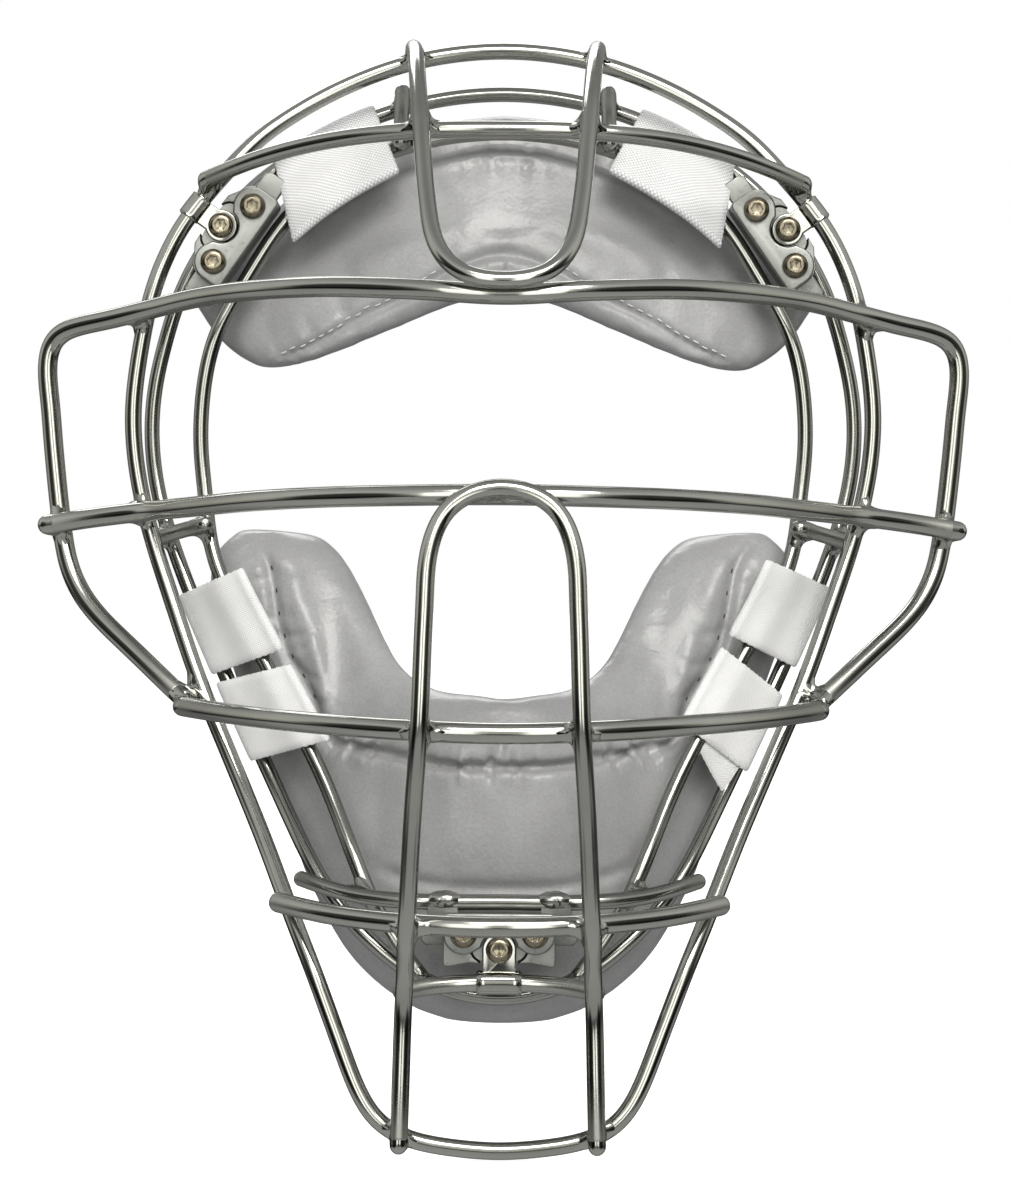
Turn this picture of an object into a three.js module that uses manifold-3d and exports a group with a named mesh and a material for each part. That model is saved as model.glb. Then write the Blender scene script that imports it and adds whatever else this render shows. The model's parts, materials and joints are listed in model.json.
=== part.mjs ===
// Catcher's mask: a floating outer cage on a padded base frame, joined by three spring modules.
// Millimetres, +Z up, -Y forward. Origin: the wearer's eye line on the face plane of the pads.
import * as THREE from "three";
import { mergeVertices } from "three/addons/utils/BufferGeometryUtils.js";
import Module from "manifold-3d";

const wasm = await Module();
wasm.setup();

// ---------- driving dimensions ----------
const GAP = 0.3; // left between pieces that touch or are welded
const BAR_R = 2.7; // the horizontal bars and the ear guards
const RING_R = 2.3; // the outer ring and the two upright U bars
const BASE_R = 2.1; // the wires of the base frame
const WIRE_SIDES = 8;

const TRAVEL = 5; // how far the cage can be knocked back
const MODULE_Y = -41; // front face of the temple plates
const CHIN_MODULE_Y = -95.2; // front face of the chin plate
const TEMPLE_SCREW = [77.5, 49.7]; // x, z of the right temple module's centre screw
const CHIN_SCREW_Z = -142.8;
const TEMPLE_TURN = THREE.MathUtils.degToRad(55); // outward direction of the temple modules

const PLATE = { thick: 2.6, lobeR: 5.3, lobeX: 9.3, lobeZ: -4, innerZ: -9.4, recessR: 4.75, notch: 5.95 };
const BLOCK = { front: 2.9, back: 14.4, floor: 1.2, outerZ: 4.7, endX: 14.6, corner: 5, shoulder: 8 };
const FOOT = { size: 7, thick: 2, centreX: 2.5, centreZ: -3.5 }; // beyond each end of the block
const POCKET = { halfX: 7.4, r: 3.6, clear: 0.2 }; // where the plunger's flange slides
const SPRING = { r: 2.85, wireR: 0.4, turns: 4, boreR: 3.7 };
const PLUNGER = { thick: 1.4, halfX: 7, r: 3.2, spigotR: 2.1, spigot: 2.6, holeR: 1.7 };
const TAB = { front: 0.3, thick: 2.3, endR: 4.4, reach: 8.6, sleeveR: 3.7, sleeveBoreR: 2.8 };
const SCREW = { headR: 3.5, headH: 2.1, shankR: 1.4, clearR: 1.9, socketR: 1.3, socketH: 1.2, tip: 0.6 };
const SCREW_LENGTH = { plate: 10, centre: 6.5 };
const SLEEVE_WIDTH = { temple: 7, chin: 12 };

// ---------- materials ----------
const steel = (color) => new THREE.MeshStandardMaterial({ color, roughness: 0.18, metalness: 1 });
const cageSteel = () => steel(0x8b8d84);
const baseSteel = () => steel(0x7f8279);
const plateSteel = () => new THREE.MeshStandardMaterial({ color: 0x8a9089, roughness: 0.4, metalness: 1 });
const screwSteel = () => new THREE.MeshStandardMaterial({ color: 0x9a8f74, roughness: 0.25, metalness: 1 });
const padVinyl = () => new THREE.MeshStandardMaterial({ color: 0x8f8f8f, roughness: 0.5, metalness: 0 });
const strapWeb = () => new THREE.MeshStandardMaterial({ color: 0xeeeeee, roughness: 0.9, metalness: 0 });

// ---------- helpers ----------
const mask = new THREE.Group();

function addMesh(parent, name, geometry, material) {
  const mesh = new THREE.Mesh(geometry, material);
  mesh.name = name;
  parent.add(mesh);
  return mesh;
}

function solidOf(geometry) {
  const bare = geometry.clone();
  bare.deleteAttribute("normal");
  bare.deleteAttribute("uv");
  const merged = mergeVertices(bare, 1e-4);
  return new wasm.Manifold(
    new wasm.Mesh({
      numProp: 3,
      vertProperties: merged.attributes.position.array,
      triVerts: new Uint32Array(merged.index.array),
    }),
  );
}

function geometryOf(solid) {
  const made = solid.getMesh();
  const geometry = new THREE.BufferGeometry();
  geometry.setAttribute("position", new THREE.BufferAttribute(made.vertProperties, 3));
  geometry.setIndex(new THREE.BufferAttribute(made.triVerts, 1));
  return geometry;
}

const vectors = (points) => points.map(([x, y, z]) => new THREE.Vector3(x, y, z));
const flipped = (points) => points.map(([x, y, z]) => [-x, y, z]);

// A path symmetric about x = 0 from its right half, which starts on x = 0.
function bothSides(half) {
  return vectors([...flipped(half).reverse(), ...half.slice(1)]);
}

const pathThrough = (points) => new THREE.CatmullRomCurve3(points, false, "centripetal");

function disc(radius, sides = WIRE_SIDES) {
  const shape = new THREE.Shape();
  for (let i = 0; i < sides; i++) {
    const angle = (2 * Math.PI * i) / sides;
    const [x, y] = [radius * Math.cos(angle), radius * Math.sin(angle)];
    if (i === 0) shape.moveTo(x, y);
    else shape.lineTo(x, y);
  }
  shape.closePath();
  return shape;
}

const tube = (path, radius, steps, sides) =>
  new THREE.ExtrudeGeometry(disc(radius, sides), { steps, bevelEnabled: false, extrudePath: path });

function wire(name, path, radius, steps, material) {
  addMesh(mask, name, tube(path, radius, steps), material);
}

// An x, z outline extruded along +Y from front to back.
function plateOf(shape, front, back, curveSegments = 5) {
  const options = { depth: back - front, bevelEnabled: false, curveSegments };
  return new THREE.ExtrudeGeometry(shape, options).rotateX(Math.PI / 2).translate(0, back, 0);
}

const cylinderAt = (x, z, radius, front, back, sides = 16) =>
  new THREE.CylinderGeometry(radius, radius, back - front, sides).translate(x, (front + back) / 2, z);

// ---------- outer cage: centre lines ----------
// The ring starts and ends at the bottom, where its ends are butted.
const RING_POINTS = [
  [0.15, -101, -194],
  [13, -101, -193],
  [25, -101, -190.3],
  [31, -100.5, -186.5],
  [35.3, -100, -180.5],
  [43.2, -97, -161],
  [48.3, -94.5, -148],
  [53.6, -88.5, -136],
  [62.3, -76, -116],
  [71.8, -65, -95.5],
  [81.3, -57, -74.5],
  [89.3, -50.5, -53],
  [96.3, -46.5, -32],
  [100, -44.5, -15],
  [100.8, -44, 0],
  [98.8, -43.3, 17],
  [96, -42.3, 31],
  [91, -40, 44.5],
  [84.6, -39.5, 54.8],
  [79.2, -39, 61],
  [68.5, -36.4, 73.2],
  [55, -33.5, 83.2],
  [41.2, -32, 90.5],
  [27.5, -31, 95.6],
  [13.8, -30.3, 98.5],
  [0, -30, 99.5],
];
const ringPath = pathThrough(vectors([...RING_POINTS, ...flipped(RING_POINTS.slice(0, -1)).reverse()]));

const BROW_BAR = [
  [0, -76, 72],
  [22, -74.3, 71.8],
  [41, -69, 70.6],
  [55, -62, 68.8],
  [69, -53, 65.8],
  [81.5, -43, 62],
];
const MOUTH_BAR = [
  [0, -131, -85.5],
  [26, -127, -84.8],
  [51, -110, -83.6],
  [68, -91, -82.6],
  [85, -65.2, -81.2],
];
const CHIN_BAR = [[0, -120, -134.7], [25, -115, -134.2], [45, -104, -132.8], [59, -92, -130.7]];
const EYE_LOWER_BAR = [
  [0, -122, -25.7],
  [25, -119, -26],
  [45, -109.5, -26.3],
  [65, -93, -27],
  [84, -70, -28.2],
  [97, -52, -29],
  [110, -45.8, -30.4],
  [124.3, -42, -32.5],
];
// One bent wire makes the bar over the eyes and both ear guards.
const EYE_UPPER_BAR = [
  [0, -113, 25.4],
  [21.6, -110, 26.8],
  [45, -98.5, 28.3],
  [66, -81.5, 28.6],
  [82, -64, 28],
  [96, -50.6, 25.8],
  [108, -42.4, 23.6],
  [118, -36.6, 21.8],
  [123.6, -34.2, 19],
  [125.6, -33.6, 12.5],
  [124.8, -34, 2],
  [122.6, -35.4, -20],
  [120.4, -37.2, -36],
  [117.8, -39.6, -46],
  [112, -43.6, -55],
  [98, -51.8, -68],
  [85.8, -59.2, -78.8],
];
const TOP_U = [
  [0, -118.6, 28.5],
  [8, -117.9, 29.5],
  [14, -115.2, 33],
  [17.6, -111, 39],
  [19.8, -101.5, 50],
  [22, -81.6, 71.5],
  [23, -69, 82],
  [24.4, -47, 95.4],
  [25.3, -35.4, 99.4],
];
const NOSE_U = [
  [0, -127.5, -24],
  [8, -127.8, -25.6],
  [14.5, -128.5, -30.5],
  [18.2, -130.6, -40],
  [19.2, -133.2, -55],
  [20.2, -134.4, -83],
  [21.9, -128.5, -108],
  [23.3, -122.2, -134],
  [23.6, -118.6, -139],
  [24, -109, -149],
  [24.4, -106.4, -156],
  [25, -106.2, -178],
  [25.4, -106.3, -192],
];
const THROAT_BAR = [[0, -94, -151.4], [9, -94.3, -151.6], [20, -97.5, -152.3], [27, -101, -153.7]];

const cageWires = {
  brow_bar: [BROW_BAR, RING_R, 18],
  eye_upper_bar: [EYE_UPPER_BAR, BAR_R, 60],
  eye_lower_bar: [EYE_LOWER_BAR, BAR_R, 28],
  mouth_bar: [MOUTH_BAR, BAR_R, 20],
  chin_bar: [CHIN_BAR, BAR_R, 14],
  top_u_bar: [TOP_U, RING_R, 34],
  nose_u_bar: [NOSE_U, RING_R, 48],
  throat_bar: [THROAT_BAR, RING_R, 10],
};

// ---------- base frame: centre lines ----------
const BASE_RING_POINTS = [
  [0.15, -78, -157],
  [15, -77.8, -154.5],
  [26.5, -77.2, -148.5],
  [36, -75.5, -140.5],
  [45.3, -71, -130],
  [51, -66, -121],
  [61.5, -52, -101.5],
  [76, -40, -72],
  [89.3, -32, -42],
  [96, -27.5, -20],
  [97.4, -25, 0],
  [94, -24, 19],
  [88.7, -24, 35],
  [80, -23.4, 50],
  [67.5, -22, 64.3],
  [52, -20, 75],
  [35.4, -18.7, 82.8],
  [18, -18, 87.6],
  [0, -18, 89.2],
];
const baseRingPath = pathThrough(
  vectors([...BASE_RING_POINTS, ...flipped(BASE_RING_POINTS.slice(0, -1)).reverse()]),
);
const BASE_INNER = [
  [0, -28, 77.2],
  [15, -28.2, 76],
  [30, -29, 72.2],
  [48, -30, 63.5],
  [59.8, -31.2, 53],
  [70.8, -33, 36],
  [80, -34, 18],
  [83.2, -35, -5],
  [82, -37, -20],
  [78.4, -42, -42],
  [62.5, -53, -72],
  [46.8, -66, -101],
  [36.5, -78.5, -125],
  [34, -79.6, -130.5],
  [29.8, -80.8, -138],
  [24.6, -82, -146],
  [20.8, -82.6, -150.6],
];
const baseInnerPath = pathThrough(bothSides(BASE_INNER));
const BASE_CHIN_BAR = [[0, -89, -130.9], [24, -88.6, -130.8], [40, -82, -129.5], [54, -71.5, -126]];
const TOP_LINK = [[28.7, -21.4, 89.3], [28.7, -34, 73.8]];
const SIDE_LINK = [[80.7, -45.4, -32], [96.2, -32.8, -36]];

// ---------- the wires ----------
wire("outer_ring", ringPath, RING_R, 76, cageSteel());
for (const [name, [half, radius, steps]] of Object.entries(cageWires)) {
  wire(name, pathThrough(bothSides(half)), radius, steps, cageSteel());
}
wire("base_ring", baseRingPath, BASE_R, 56, baseSteel());
wire("base_inner_ring", baseInnerPath, BASE_R, 52, baseSteel());
wire("base_chin_bar", pathThrough(bothSides(BASE_CHIN_BAR)), BASE_R, 12, baseSteel());
for (const [side, turn] of [["right", (p) => p], ["left", flipped]]) {
  wire(`top_link_${side}`, pathThrough(vectors(turn(TOP_LINK))), BASE_R, 1, baseSteel());
  wire(`side_link_${side}`, pathThrough(vectors(turn(SIDE_LINK))), BASE_R, 1, baseSteel());
}

// ---------- spring modules ----------
// In a module's own frame X runs along the wires, Y back, and Z out towards the cage's bar,
// with the centre screw on the Y axis and the plate's front face at y = 0.
function lobedShape() {
  const { lobeR, lobeX, lobeZ, innerZ, recessR, notch } = PLATE;
  const lobeArc = Math.PI * 0.62; // how far round each lobe's edge goes before it turns to the recess
  const past = 0.1; // how far the recess's arc reaches beyond its half turn
  const shape = new THREE.Shape();
  shape.moveTo(-lobeX - lobeR, innerZ);
  shape.lineTo(lobeX + lobeR, innerZ);
  shape.lineTo(lobeX + lobeR, lobeZ);
  shape.absarc(lobeX, lobeZ, lobeR, 0, lobeArc);
  shape.lineTo(notch, -1);
  shape.absarc(0, 0, recessR, -past, Math.PI + past, true);
  shape.lineTo(-notch, -1);
  shape.absarc(-lobeX, lobeZ, lobeR, Math.PI - lobeArc, Math.PI);
  shape.closePath();
  for (const x of [-lobeX, lobeX]) {
    const hole = new THREE.Path();
    hole.absarc(x, lobeZ, SCREW.clearR, 0, 2 * Math.PI, true);
    shape.holes.push(hole);
  }
  return shape;
}

function blockShape() {
  const shape = new THREE.Shape();
  const { endX, outerZ, corner, shoulder } = BLOCK;
  shape.moveTo(-endX, PLATE.innerZ);
  shape.lineTo(endX, PLATE.innerZ);
  shape.lineTo(endX, outerZ - corner - 3);
  shape.quadraticCurveTo(endX, outerZ - 3, endX - corner, outerZ - 1);
  shape.lineTo(shoulder, outerZ);
  shape.lineTo(-shoulder, outerZ);
  shape.lineTo(-endX + corner, outerZ - 1);
  shape.quadraticCurveTo(-endX, outerZ - 3, -endX, outerZ - corner - 3);
  shape.closePath();
  return shape;
}

function slotShape(halfX, radius) {
  const shape = new THREE.Shape();
  const centre = halfX - radius;
  shape.absarc(centre, 0, radius, -Math.PI / 2, Math.PI / 2);
  shape.absarc(-centre, 0, radius, Math.PI / 2, (3 * Math.PI) / 2);
  shape.closePath();
  return shape;
}

// the way that the tab slides back along, open towards the cage's bar
function channelShape() {
  const shape = new THREE.Shape();
  shape.absarc(0, 0, PLATE.recessR, Math.PI, 2 * Math.PI);
  shape.lineTo(PLATE.recessR, 2 * BLOCK.outerZ);
  shape.lineTo(-PLATE.recessR, 2 * BLOCK.outerZ);
  shape.closePath();
  return shape;
}

const FLANGE_BACK = BLOCK.front + PLUNGER.thick;
const POCKET_BACK = FLANGE_BACK + TRAVEL + POCKET.clear;
const BORE_BACK = BLOCK.back - BLOCK.floor;

function housingGeometry() {
  let housing = solidOf(plateOf(blockShape(), BLOCK.front, BLOCK.back, 4));
  for (const side of [-1, 1]) {
    // a foot that reaches to the base ring
    const foot = new THREE.BoxGeometry(FOOT.size, FOOT.thick, FOOT.size);
    foot.translate(side * (BLOCK.endX + FOOT.centreX), BLOCK.back - FOOT.thick / 2, FOOT.centreZ);
    housing = housing.add(solidOf(foot));
    const hole = cylinderAt(
      side * PLATE.lobeX, PLATE.lobeZ, SCREW.clearR, 0, SCREW_LENGTH.plate + SCREW.tip, 12,
    );
    housing = housing.subtract(solidOf(hole));
  }
  const pocket = plateOf(slotShape(POCKET.halfX, POCKET.r), 0, POCKET_BACK, 5);
  housing = housing.subtract(solidOf(pocket));
  housing = housing.subtract(solidOf(plateOf(channelShape(), 0, TAB.front + TAB.thick + TRAVEL + GAP)));
  housing = housing.subtract(solidOf(cylinderAt(0, 0, SPRING.boreR, 0, BORE_BACK)));
  return geometryOf(housing);
}

function screwGeometry(length) {
  const { headR, headH, shankR } = SCREW;
  const profile = [
    [0, 0],
    [headR * 0.62, 0],
    [headR * 0.86, headH * 0.35],
    [headR, headH * 0.8],
    [headR, headH],
    [shankR, headH],
    [shankR, headH + length],
    [0, headH + length],
  ];
  const points = profile.map(([r, h]) => new THREE.Vector2(r, h)).reverse();
  const body = solidOf(new THREE.LatheGeometry(points, 12).scale(1, -1, 1).rotateX(Math.PI));
  const socket = new THREE.CylinderGeometry(SCREW.socketR, SCREW.socketR, SCREW.socketH * 2, 6);
  return geometryOf(body.subtract(solidOf(socket)));
}

function plungerGeometry() {
  const { thick, halfX, r, spigotR, spigot, holeR } = PLUNGER;
  const flange = solidOf(plateOf(slotShape(halfX, r), BLOCK.front, BLOCK.front + thick, 5));
  const nose = solidOf(cylinderAt(0, 0, spigotR, FLANGE_BACK - 0.5, FLANGE_BACK + spigot, 12));
  const hole = solidOf(cylinderAt(0, 0, holeR, 0, BORE_BACK, 12));
  return geometryOf(flange.add(nose).subtract(hole));
}

function tabGeometry(sleeveWidth) {
  const { front, thick, endR, reach, sleeveR, sleeveBoreR } = TAB;
  const shape = new THREE.Shape();
  const half = Math.min(endR, sleeveWidth / 2 - 0.2);
  shape.absarc(0, 0, endR, Math.PI - Math.acos(half / endR), 2 * Math.PI + Math.acos(half / endR));
  shape.lineTo(half, reach);
  shape.lineTo(-half, reach);
  shape.closePath();
  const blade = solidOf(plateOf(shape, front, front + thick));
  const middle = front + thick / 2;
  const along = (radius, width) =>
    solidOf(
      new THREE.CylinderGeometry(radius, radius, width, 12)
        .rotateZ(Math.PI / 2)
        .translate(0, middle, reach),
    );
  const hole = solidOf(cylinderAt(0, 0, PLUNGER.holeR, 0, 5, 12));
  return geometryOf(
    blade.add(along(sleeveR, sleeveWidth)).subtract(along(sleeveBoreR, sleeveWidth * 2)).subtract(hole),
  );
}

function springGeometry() {
  class Coil extends THREE.Curve {
    getPoint(t) {
      const angle = 2 * Math.PI * SPRING.turns * t;
      const start = FLANGE_BACK + GAP + SPRING.wireR;
      const end = BORE_BACK - GAP - SPRING.wireR;
      const along = start + (end - start) * t;
      return new THREE.Vector3(SPRING.r * Math.cos(angle), along, SPRING.r * Math.sin(angle));
    }
  }
  return tube(new Coil(), SPRING.wireR, SPRING.turns * 8, 5);
}

function springModule(place, sleeveWidth) {
  const group = new THREE.Group();
  mask.add(group);
  addMesh(group, `${place}_plate`, plateOf(lobedShape(), 0, PLATE.thick), plateSteel());
  addMesh(group, `${place}_housing`, housingGeometry(), plateSteel());
  for (const [side, x] of [["a", -PLATE.lobeX], ["b", PLATE.lobeX]]) {
    const name = `${place}_plate_screw_${side}`;
    const screw = addMesh(group, name, screwGeometry(SCREW_LENGTH.plate), screwSteel());
    screw.position.set(x, -GAP - SCREW.headH, PLATE.lobeZ);
  }
  addMesh(group, `${place}_spring`, springGeometry(), steel(0xa8aaa6));
  addMesh(group, `${place}_plunger`, plungerGeometry(), plateSteel());
  addMesh(group, `${place}_tab`, tabGeometry(sleeveWidth), plateSteel());
  const centre = addMesh(group, `${place}_centre_screw`, screwGeometry(SCREW_LENGTH.centre), screwSteel());
  centre.position.set(0, TAB.front - GAP - SCREW.headH, 0);
  return group;
}

for (const [place, side] of [["temple_right", 1], ["temple_left", -1]]) {
  const temple = springModule(place, SLEEVE_WIDTH.temple);
  temple.position.set(side * TEMPLE_SCREW[0], MODULE_Y, TEMPLE_SCREW[1]);
  temple.rotation.y = side * TEMPLE_TURN;
}
const chin = springModule("chin", SLEEVE_WIDTH.chin);
chin.position.set(0, CHIN_MODULE_Y, CHIN_SCREW_Z);
chin.rotation.y = Math.PI;

// ---------- pads ----------
// A cushion swept along t = 0..1: at(t) gives its centre, the direction across its face,
// the direction through it, and half its width and thickness.
function cushion(at, around, along) {
  const geometry = new THREE.CylinderGeometry(1, 1, 1, around, along);
  const position = geometry.attributes.position;
  for (let i = 0; i < position.count; i++) {
    const { centre, across, through, halfWidth, halfThick } = at(position.getY(i) + 0.5);
    const [a, b] = [position.getX(i), position.getZ(i)];
    const round = (v) => Math.sign(v) * Math.abs(v) ** 0.8; // fuller than an ellipse
    const point = centre
      .clone()
      .addScaledVector(across, round(a) * halfWidth)
      .addScaledVector(through, round(b) * halfThick);
    position.setXYZ(i, point.x, point.y, point.z);
  }
  return geometry;
}

// 1 along a cushion, falling off over that share of its length towards each end, but not to nothing
const endTaper = (t, share) => Math.sin(Math.PI * Math.min(0.5, Math.max(0.06, t) / share / 2));

const FOREHEAD = {
  halfX: 87, topR: 91, topZ: -5, lobeX: 64, midZ: 21, wave: 10.6, y: -18, bow: 12, lean: 0.4,
};
const FOREHEAD_THICK = 24;

function foreheadAt(t) {
  const { halfX, topR, topZ, lobeX, midZ, wave, y, bow, lean } = FOREHEAD;
  const x = (2 * t - 1) * halfX;
  const top = topZ + Math.sqrt(topR ** 2 - x ** 2);
  const bottom = midZ + wave * Math.cos((Math.PI * Math.abs(x)) / lobeX);
  const halfWidth = (top - bottom) / 2;
  const taper = endTaper(Math.min(t, 1 - t), 0.12);
  return {
    centre: new THREE.Vector3(x, y + bow * (x / halfX) ** 2, (top + bottom) / 2),
    across: new THREE.Vector3(0, lean, 1),
    through: new THREE.Vector3(0, 1, 0),
    halfWidth: halfWidth * (0.55 + 0.45 * taper),
    halfThick: (FOREHEAD_THICK / 4) * (1 + taper),
  };
}

// centre x, y, z, half width and half thickness from the chin's middle up the right cheek
const CHEEK = [
  [0, -60, -122.5, 42.5, 17],
  [27, -52.5, -113, 32, 15],
  [45.5, -35, -89, 21, 12.5],
  [57.5, -27.5, -63, 19, 13],
  [66.5, -20.5, -37, 16, 12],
];
const cheekPath = new THREE.CatmullRomCurve3(bothSides(CHEEK));
const cheekSize = new THREE.CatmullRomCurve3(
  vectors([...[...CHEEK].reverse(), ...CHEEK.slice(1)].map((row) => [row[3], row[4], 0])),
);

function cheekAt(t) {
  const along = cheekPath.getTangent(t);
  const through = new THREE.Vector3(0, 1, 0);
  const size = cheekSize.getPoint(t);
  const taper = endTaper(Math.min(t, 1 - t), 0.06);
  return {
    centre: cheekPath.getPoint(t),
    across: new THREE.Vector3(-along.z, 0, along.x).normalize(),
    through,
    halfWidth: size.x * (0.75 + 0.25 * taper),
    halfThick: size.y * (0.6 + 0.4 * taper),
  };
}

addMesh(mask, "forehead_pad", cushion(foreheadAt, 12, 20), padVinyl());
addMesh(mask, "chin_pad", cushion(cheekAt, 12, 28), padVinyl());

// ---------- straps ----------
const STRAP = { inner: 3.6, thick: 1.2 };

function nearestOn(path, x, z) {
  let best = null;
  for (let i = 0; i <= 600; i++) {
    const point = path.getPoint(i / 600);
    const distance = Math.hypot(point.x - x, point.z - z);
    if (!best || distance < best.distance) best = { distance, point, tangent: path.getTangent(i / 600) };
  }
  return best;
}

// A loop of webbing round both base wires near (x, z), reaching on over the pad beyond the inner one.
function strapLoop(name, x, z, width, reach) {
  const outer = nearestOn(baseRingPath, x, z);
  const inner = nearestOn(baseInnerPath, x, z);
  const along = inner.tangent.clone();
  const across = inner.point.clone().sub(outer.point);
  across.addScaledVector(along, -across.dot(along));
  const span = across.length() + reach;
  across.normalize();
  const loop = slotShape(span / 2 + STRAP.inner + STRAP.thick, STRAP.inner + STRAP.thick);
  loop.holes.push(slotShape(span / 2 + STRAP.inner, STRAP.inner));
  const geometry = new THREE.ExtrudeGeometry(loop, { depth: width, bevelEnabled: false, curveSegments: 4 });
  geometry.translate(span / 2, 0, -width / 2);
  const up = new THREE.Vector3().crossVectors(along, across);
  geometry.applyMatrix4(new THREE.Matrix4().makeBasis(across, up, along).setPosition(outer.point));
  addMesh(mask, name, geometry, strapWeb());
}

const STRAPS = [
  ["brow_strap", 46.5, 66.5, 30, 3],
  ["cheek_strap_upper", 76, -57, 22, 7],
  ["cheek_strap_lower", 64, -83, 21, 7],
];
for (const [name, x, z, width, reach] of STRAPS) {
  strapLoop(`${name}_right`, x, z, width, reach);
  strapLoop(`${name}_left`, -x, z, width, reach);
}

export default mask;
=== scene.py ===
import json
import math

import bmesh
import bpy
import numpy as np
from mathutils import Matrix, Vector
from mathutils.bvhtree import BVHTree
from mathutils.kdtree import KDTree

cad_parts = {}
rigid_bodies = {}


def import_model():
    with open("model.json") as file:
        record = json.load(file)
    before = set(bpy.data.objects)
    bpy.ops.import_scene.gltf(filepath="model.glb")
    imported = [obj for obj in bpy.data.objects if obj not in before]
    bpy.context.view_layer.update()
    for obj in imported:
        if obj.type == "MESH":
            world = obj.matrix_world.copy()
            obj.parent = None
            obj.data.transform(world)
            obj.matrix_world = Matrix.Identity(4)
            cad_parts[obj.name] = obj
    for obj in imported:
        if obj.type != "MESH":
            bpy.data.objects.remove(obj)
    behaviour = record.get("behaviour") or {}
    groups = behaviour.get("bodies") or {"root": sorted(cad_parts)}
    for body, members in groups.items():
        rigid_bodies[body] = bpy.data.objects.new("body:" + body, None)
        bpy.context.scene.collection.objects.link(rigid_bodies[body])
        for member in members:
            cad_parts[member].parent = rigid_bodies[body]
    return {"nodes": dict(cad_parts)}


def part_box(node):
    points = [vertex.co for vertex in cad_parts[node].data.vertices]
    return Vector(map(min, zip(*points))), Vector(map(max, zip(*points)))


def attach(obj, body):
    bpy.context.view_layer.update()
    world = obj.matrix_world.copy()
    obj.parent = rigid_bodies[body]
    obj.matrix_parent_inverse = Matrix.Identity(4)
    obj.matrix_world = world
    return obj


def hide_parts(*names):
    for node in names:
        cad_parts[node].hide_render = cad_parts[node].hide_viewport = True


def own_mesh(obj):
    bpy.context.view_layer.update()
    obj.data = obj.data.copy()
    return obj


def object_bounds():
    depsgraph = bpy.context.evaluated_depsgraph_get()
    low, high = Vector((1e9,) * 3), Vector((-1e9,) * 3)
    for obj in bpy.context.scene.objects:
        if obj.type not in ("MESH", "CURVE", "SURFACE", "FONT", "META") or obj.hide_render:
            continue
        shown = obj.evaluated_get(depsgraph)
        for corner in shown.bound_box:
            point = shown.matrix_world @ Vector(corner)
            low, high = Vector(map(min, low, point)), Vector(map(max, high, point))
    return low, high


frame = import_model()
cad_box = [list(corner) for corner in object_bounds()]
MM = 0.001
BASE, CAGE = "base_frame", "outer_cage"


# ---------- camera and studio ----------
LENS = 131.4
CAMERA_AT = (0.0010, -1.05, -0.0522)
CAMERA_ROLL = math.radians(0.4)
# How light the studio is over the height that a ray points to: 0 is down, 0.5 level and 1 up.
WALLS = [
    (0.0, 0.66), (0.33, 0.58), (0.385, 0.06), (0.43, 0.07), (0.48, (0.55, 0.55, 0.51)),
    (0.58, (0.92, 0.92, 0.85)), (0.8, 0.9), (1.0, 0.45)]
GAP_ANGLE = math.radians(58)  # from straight ahead to the middle of each dark gap
GAP_FADE = [(0.86, 1.0), (0.94, 0.08)]
BACK_FADE = [(0.2, 1.0), (0.7, 0.35)]
FLOOR_LOOK = {
    "Base Color": (0.55, 0.55, 0.55, 1),
    "Roughness": 0.9,
    "Specular IOR Level": 0,
    "Emission Color": (1, 1, 1, 1),
    "Emission Strength": 0.86,
}


def add_object(name, data):
    """A new object that holds data, linked to the scene."""
    made = bpy.data.objects.new(name, data)
    bpy.context.scene.collection.objects.link(made)
    return made


def make_camera():
    data = bpy.data.cameras.new("camera")
    data.sensor_width = 36
    data.sensor_fit = "HORIZONTAL"
    data.lens = LENS
    camera = add_object("camera", data)
    camera.location = CAMERA_AT
    camera.rotation_mode = "XYZ"
    camera.rotation_euler = (math.pi / 2, -CAMERA_ROLL, 0)
    bpy.context.scene.camera = camera


def add_node(tree, kind, inputs=None, **settings):
    node = tree.nodes.new(kind)
    for key, value in settings.items():
        setattr(node, key, value)
    for key, value in (inputs or {}).items():
        if isinstance(value, bpy.types.NodeSocket):
            tree.links.new(value, node.inputs[key])
        else:
            node.inputs[key].default_value = value
    return node


def maths(tree, operation, *values):
    """The result of one step of arithmetic."""
    return add_node(tree, "ShaderNodeMath", dict(enumerate(values)), operation=operation).outputs[0]


def ramp(tree, value, stops):
    """A colour ramp over value; stops are (position, grey) or (position, (r, g, b))."""
    node = add_node(tree, "ShaderNodeValToRGB", {0: value})
    elements = node.color_ramp.elements
    while len(elements) < len(stops):
        elements.new(0.5)
    for element, (position, colour) in zip(elements, stops):
        element.position = position
        rgb = colour if isinstance(colour, tuple) else (colour,) * 3
        element.color = (*rgb, 1)
    return node.outputs["Color"]


def multiplied(tree, a, b):
    inputs = {"Factor": 1, "A": a, "B": b}
    node = add_node(tree, "ShaderNodeMix", inputs, data_type="RGBA", blend_type="MULTIPLY")
    return node.outputs["Result"]


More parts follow.
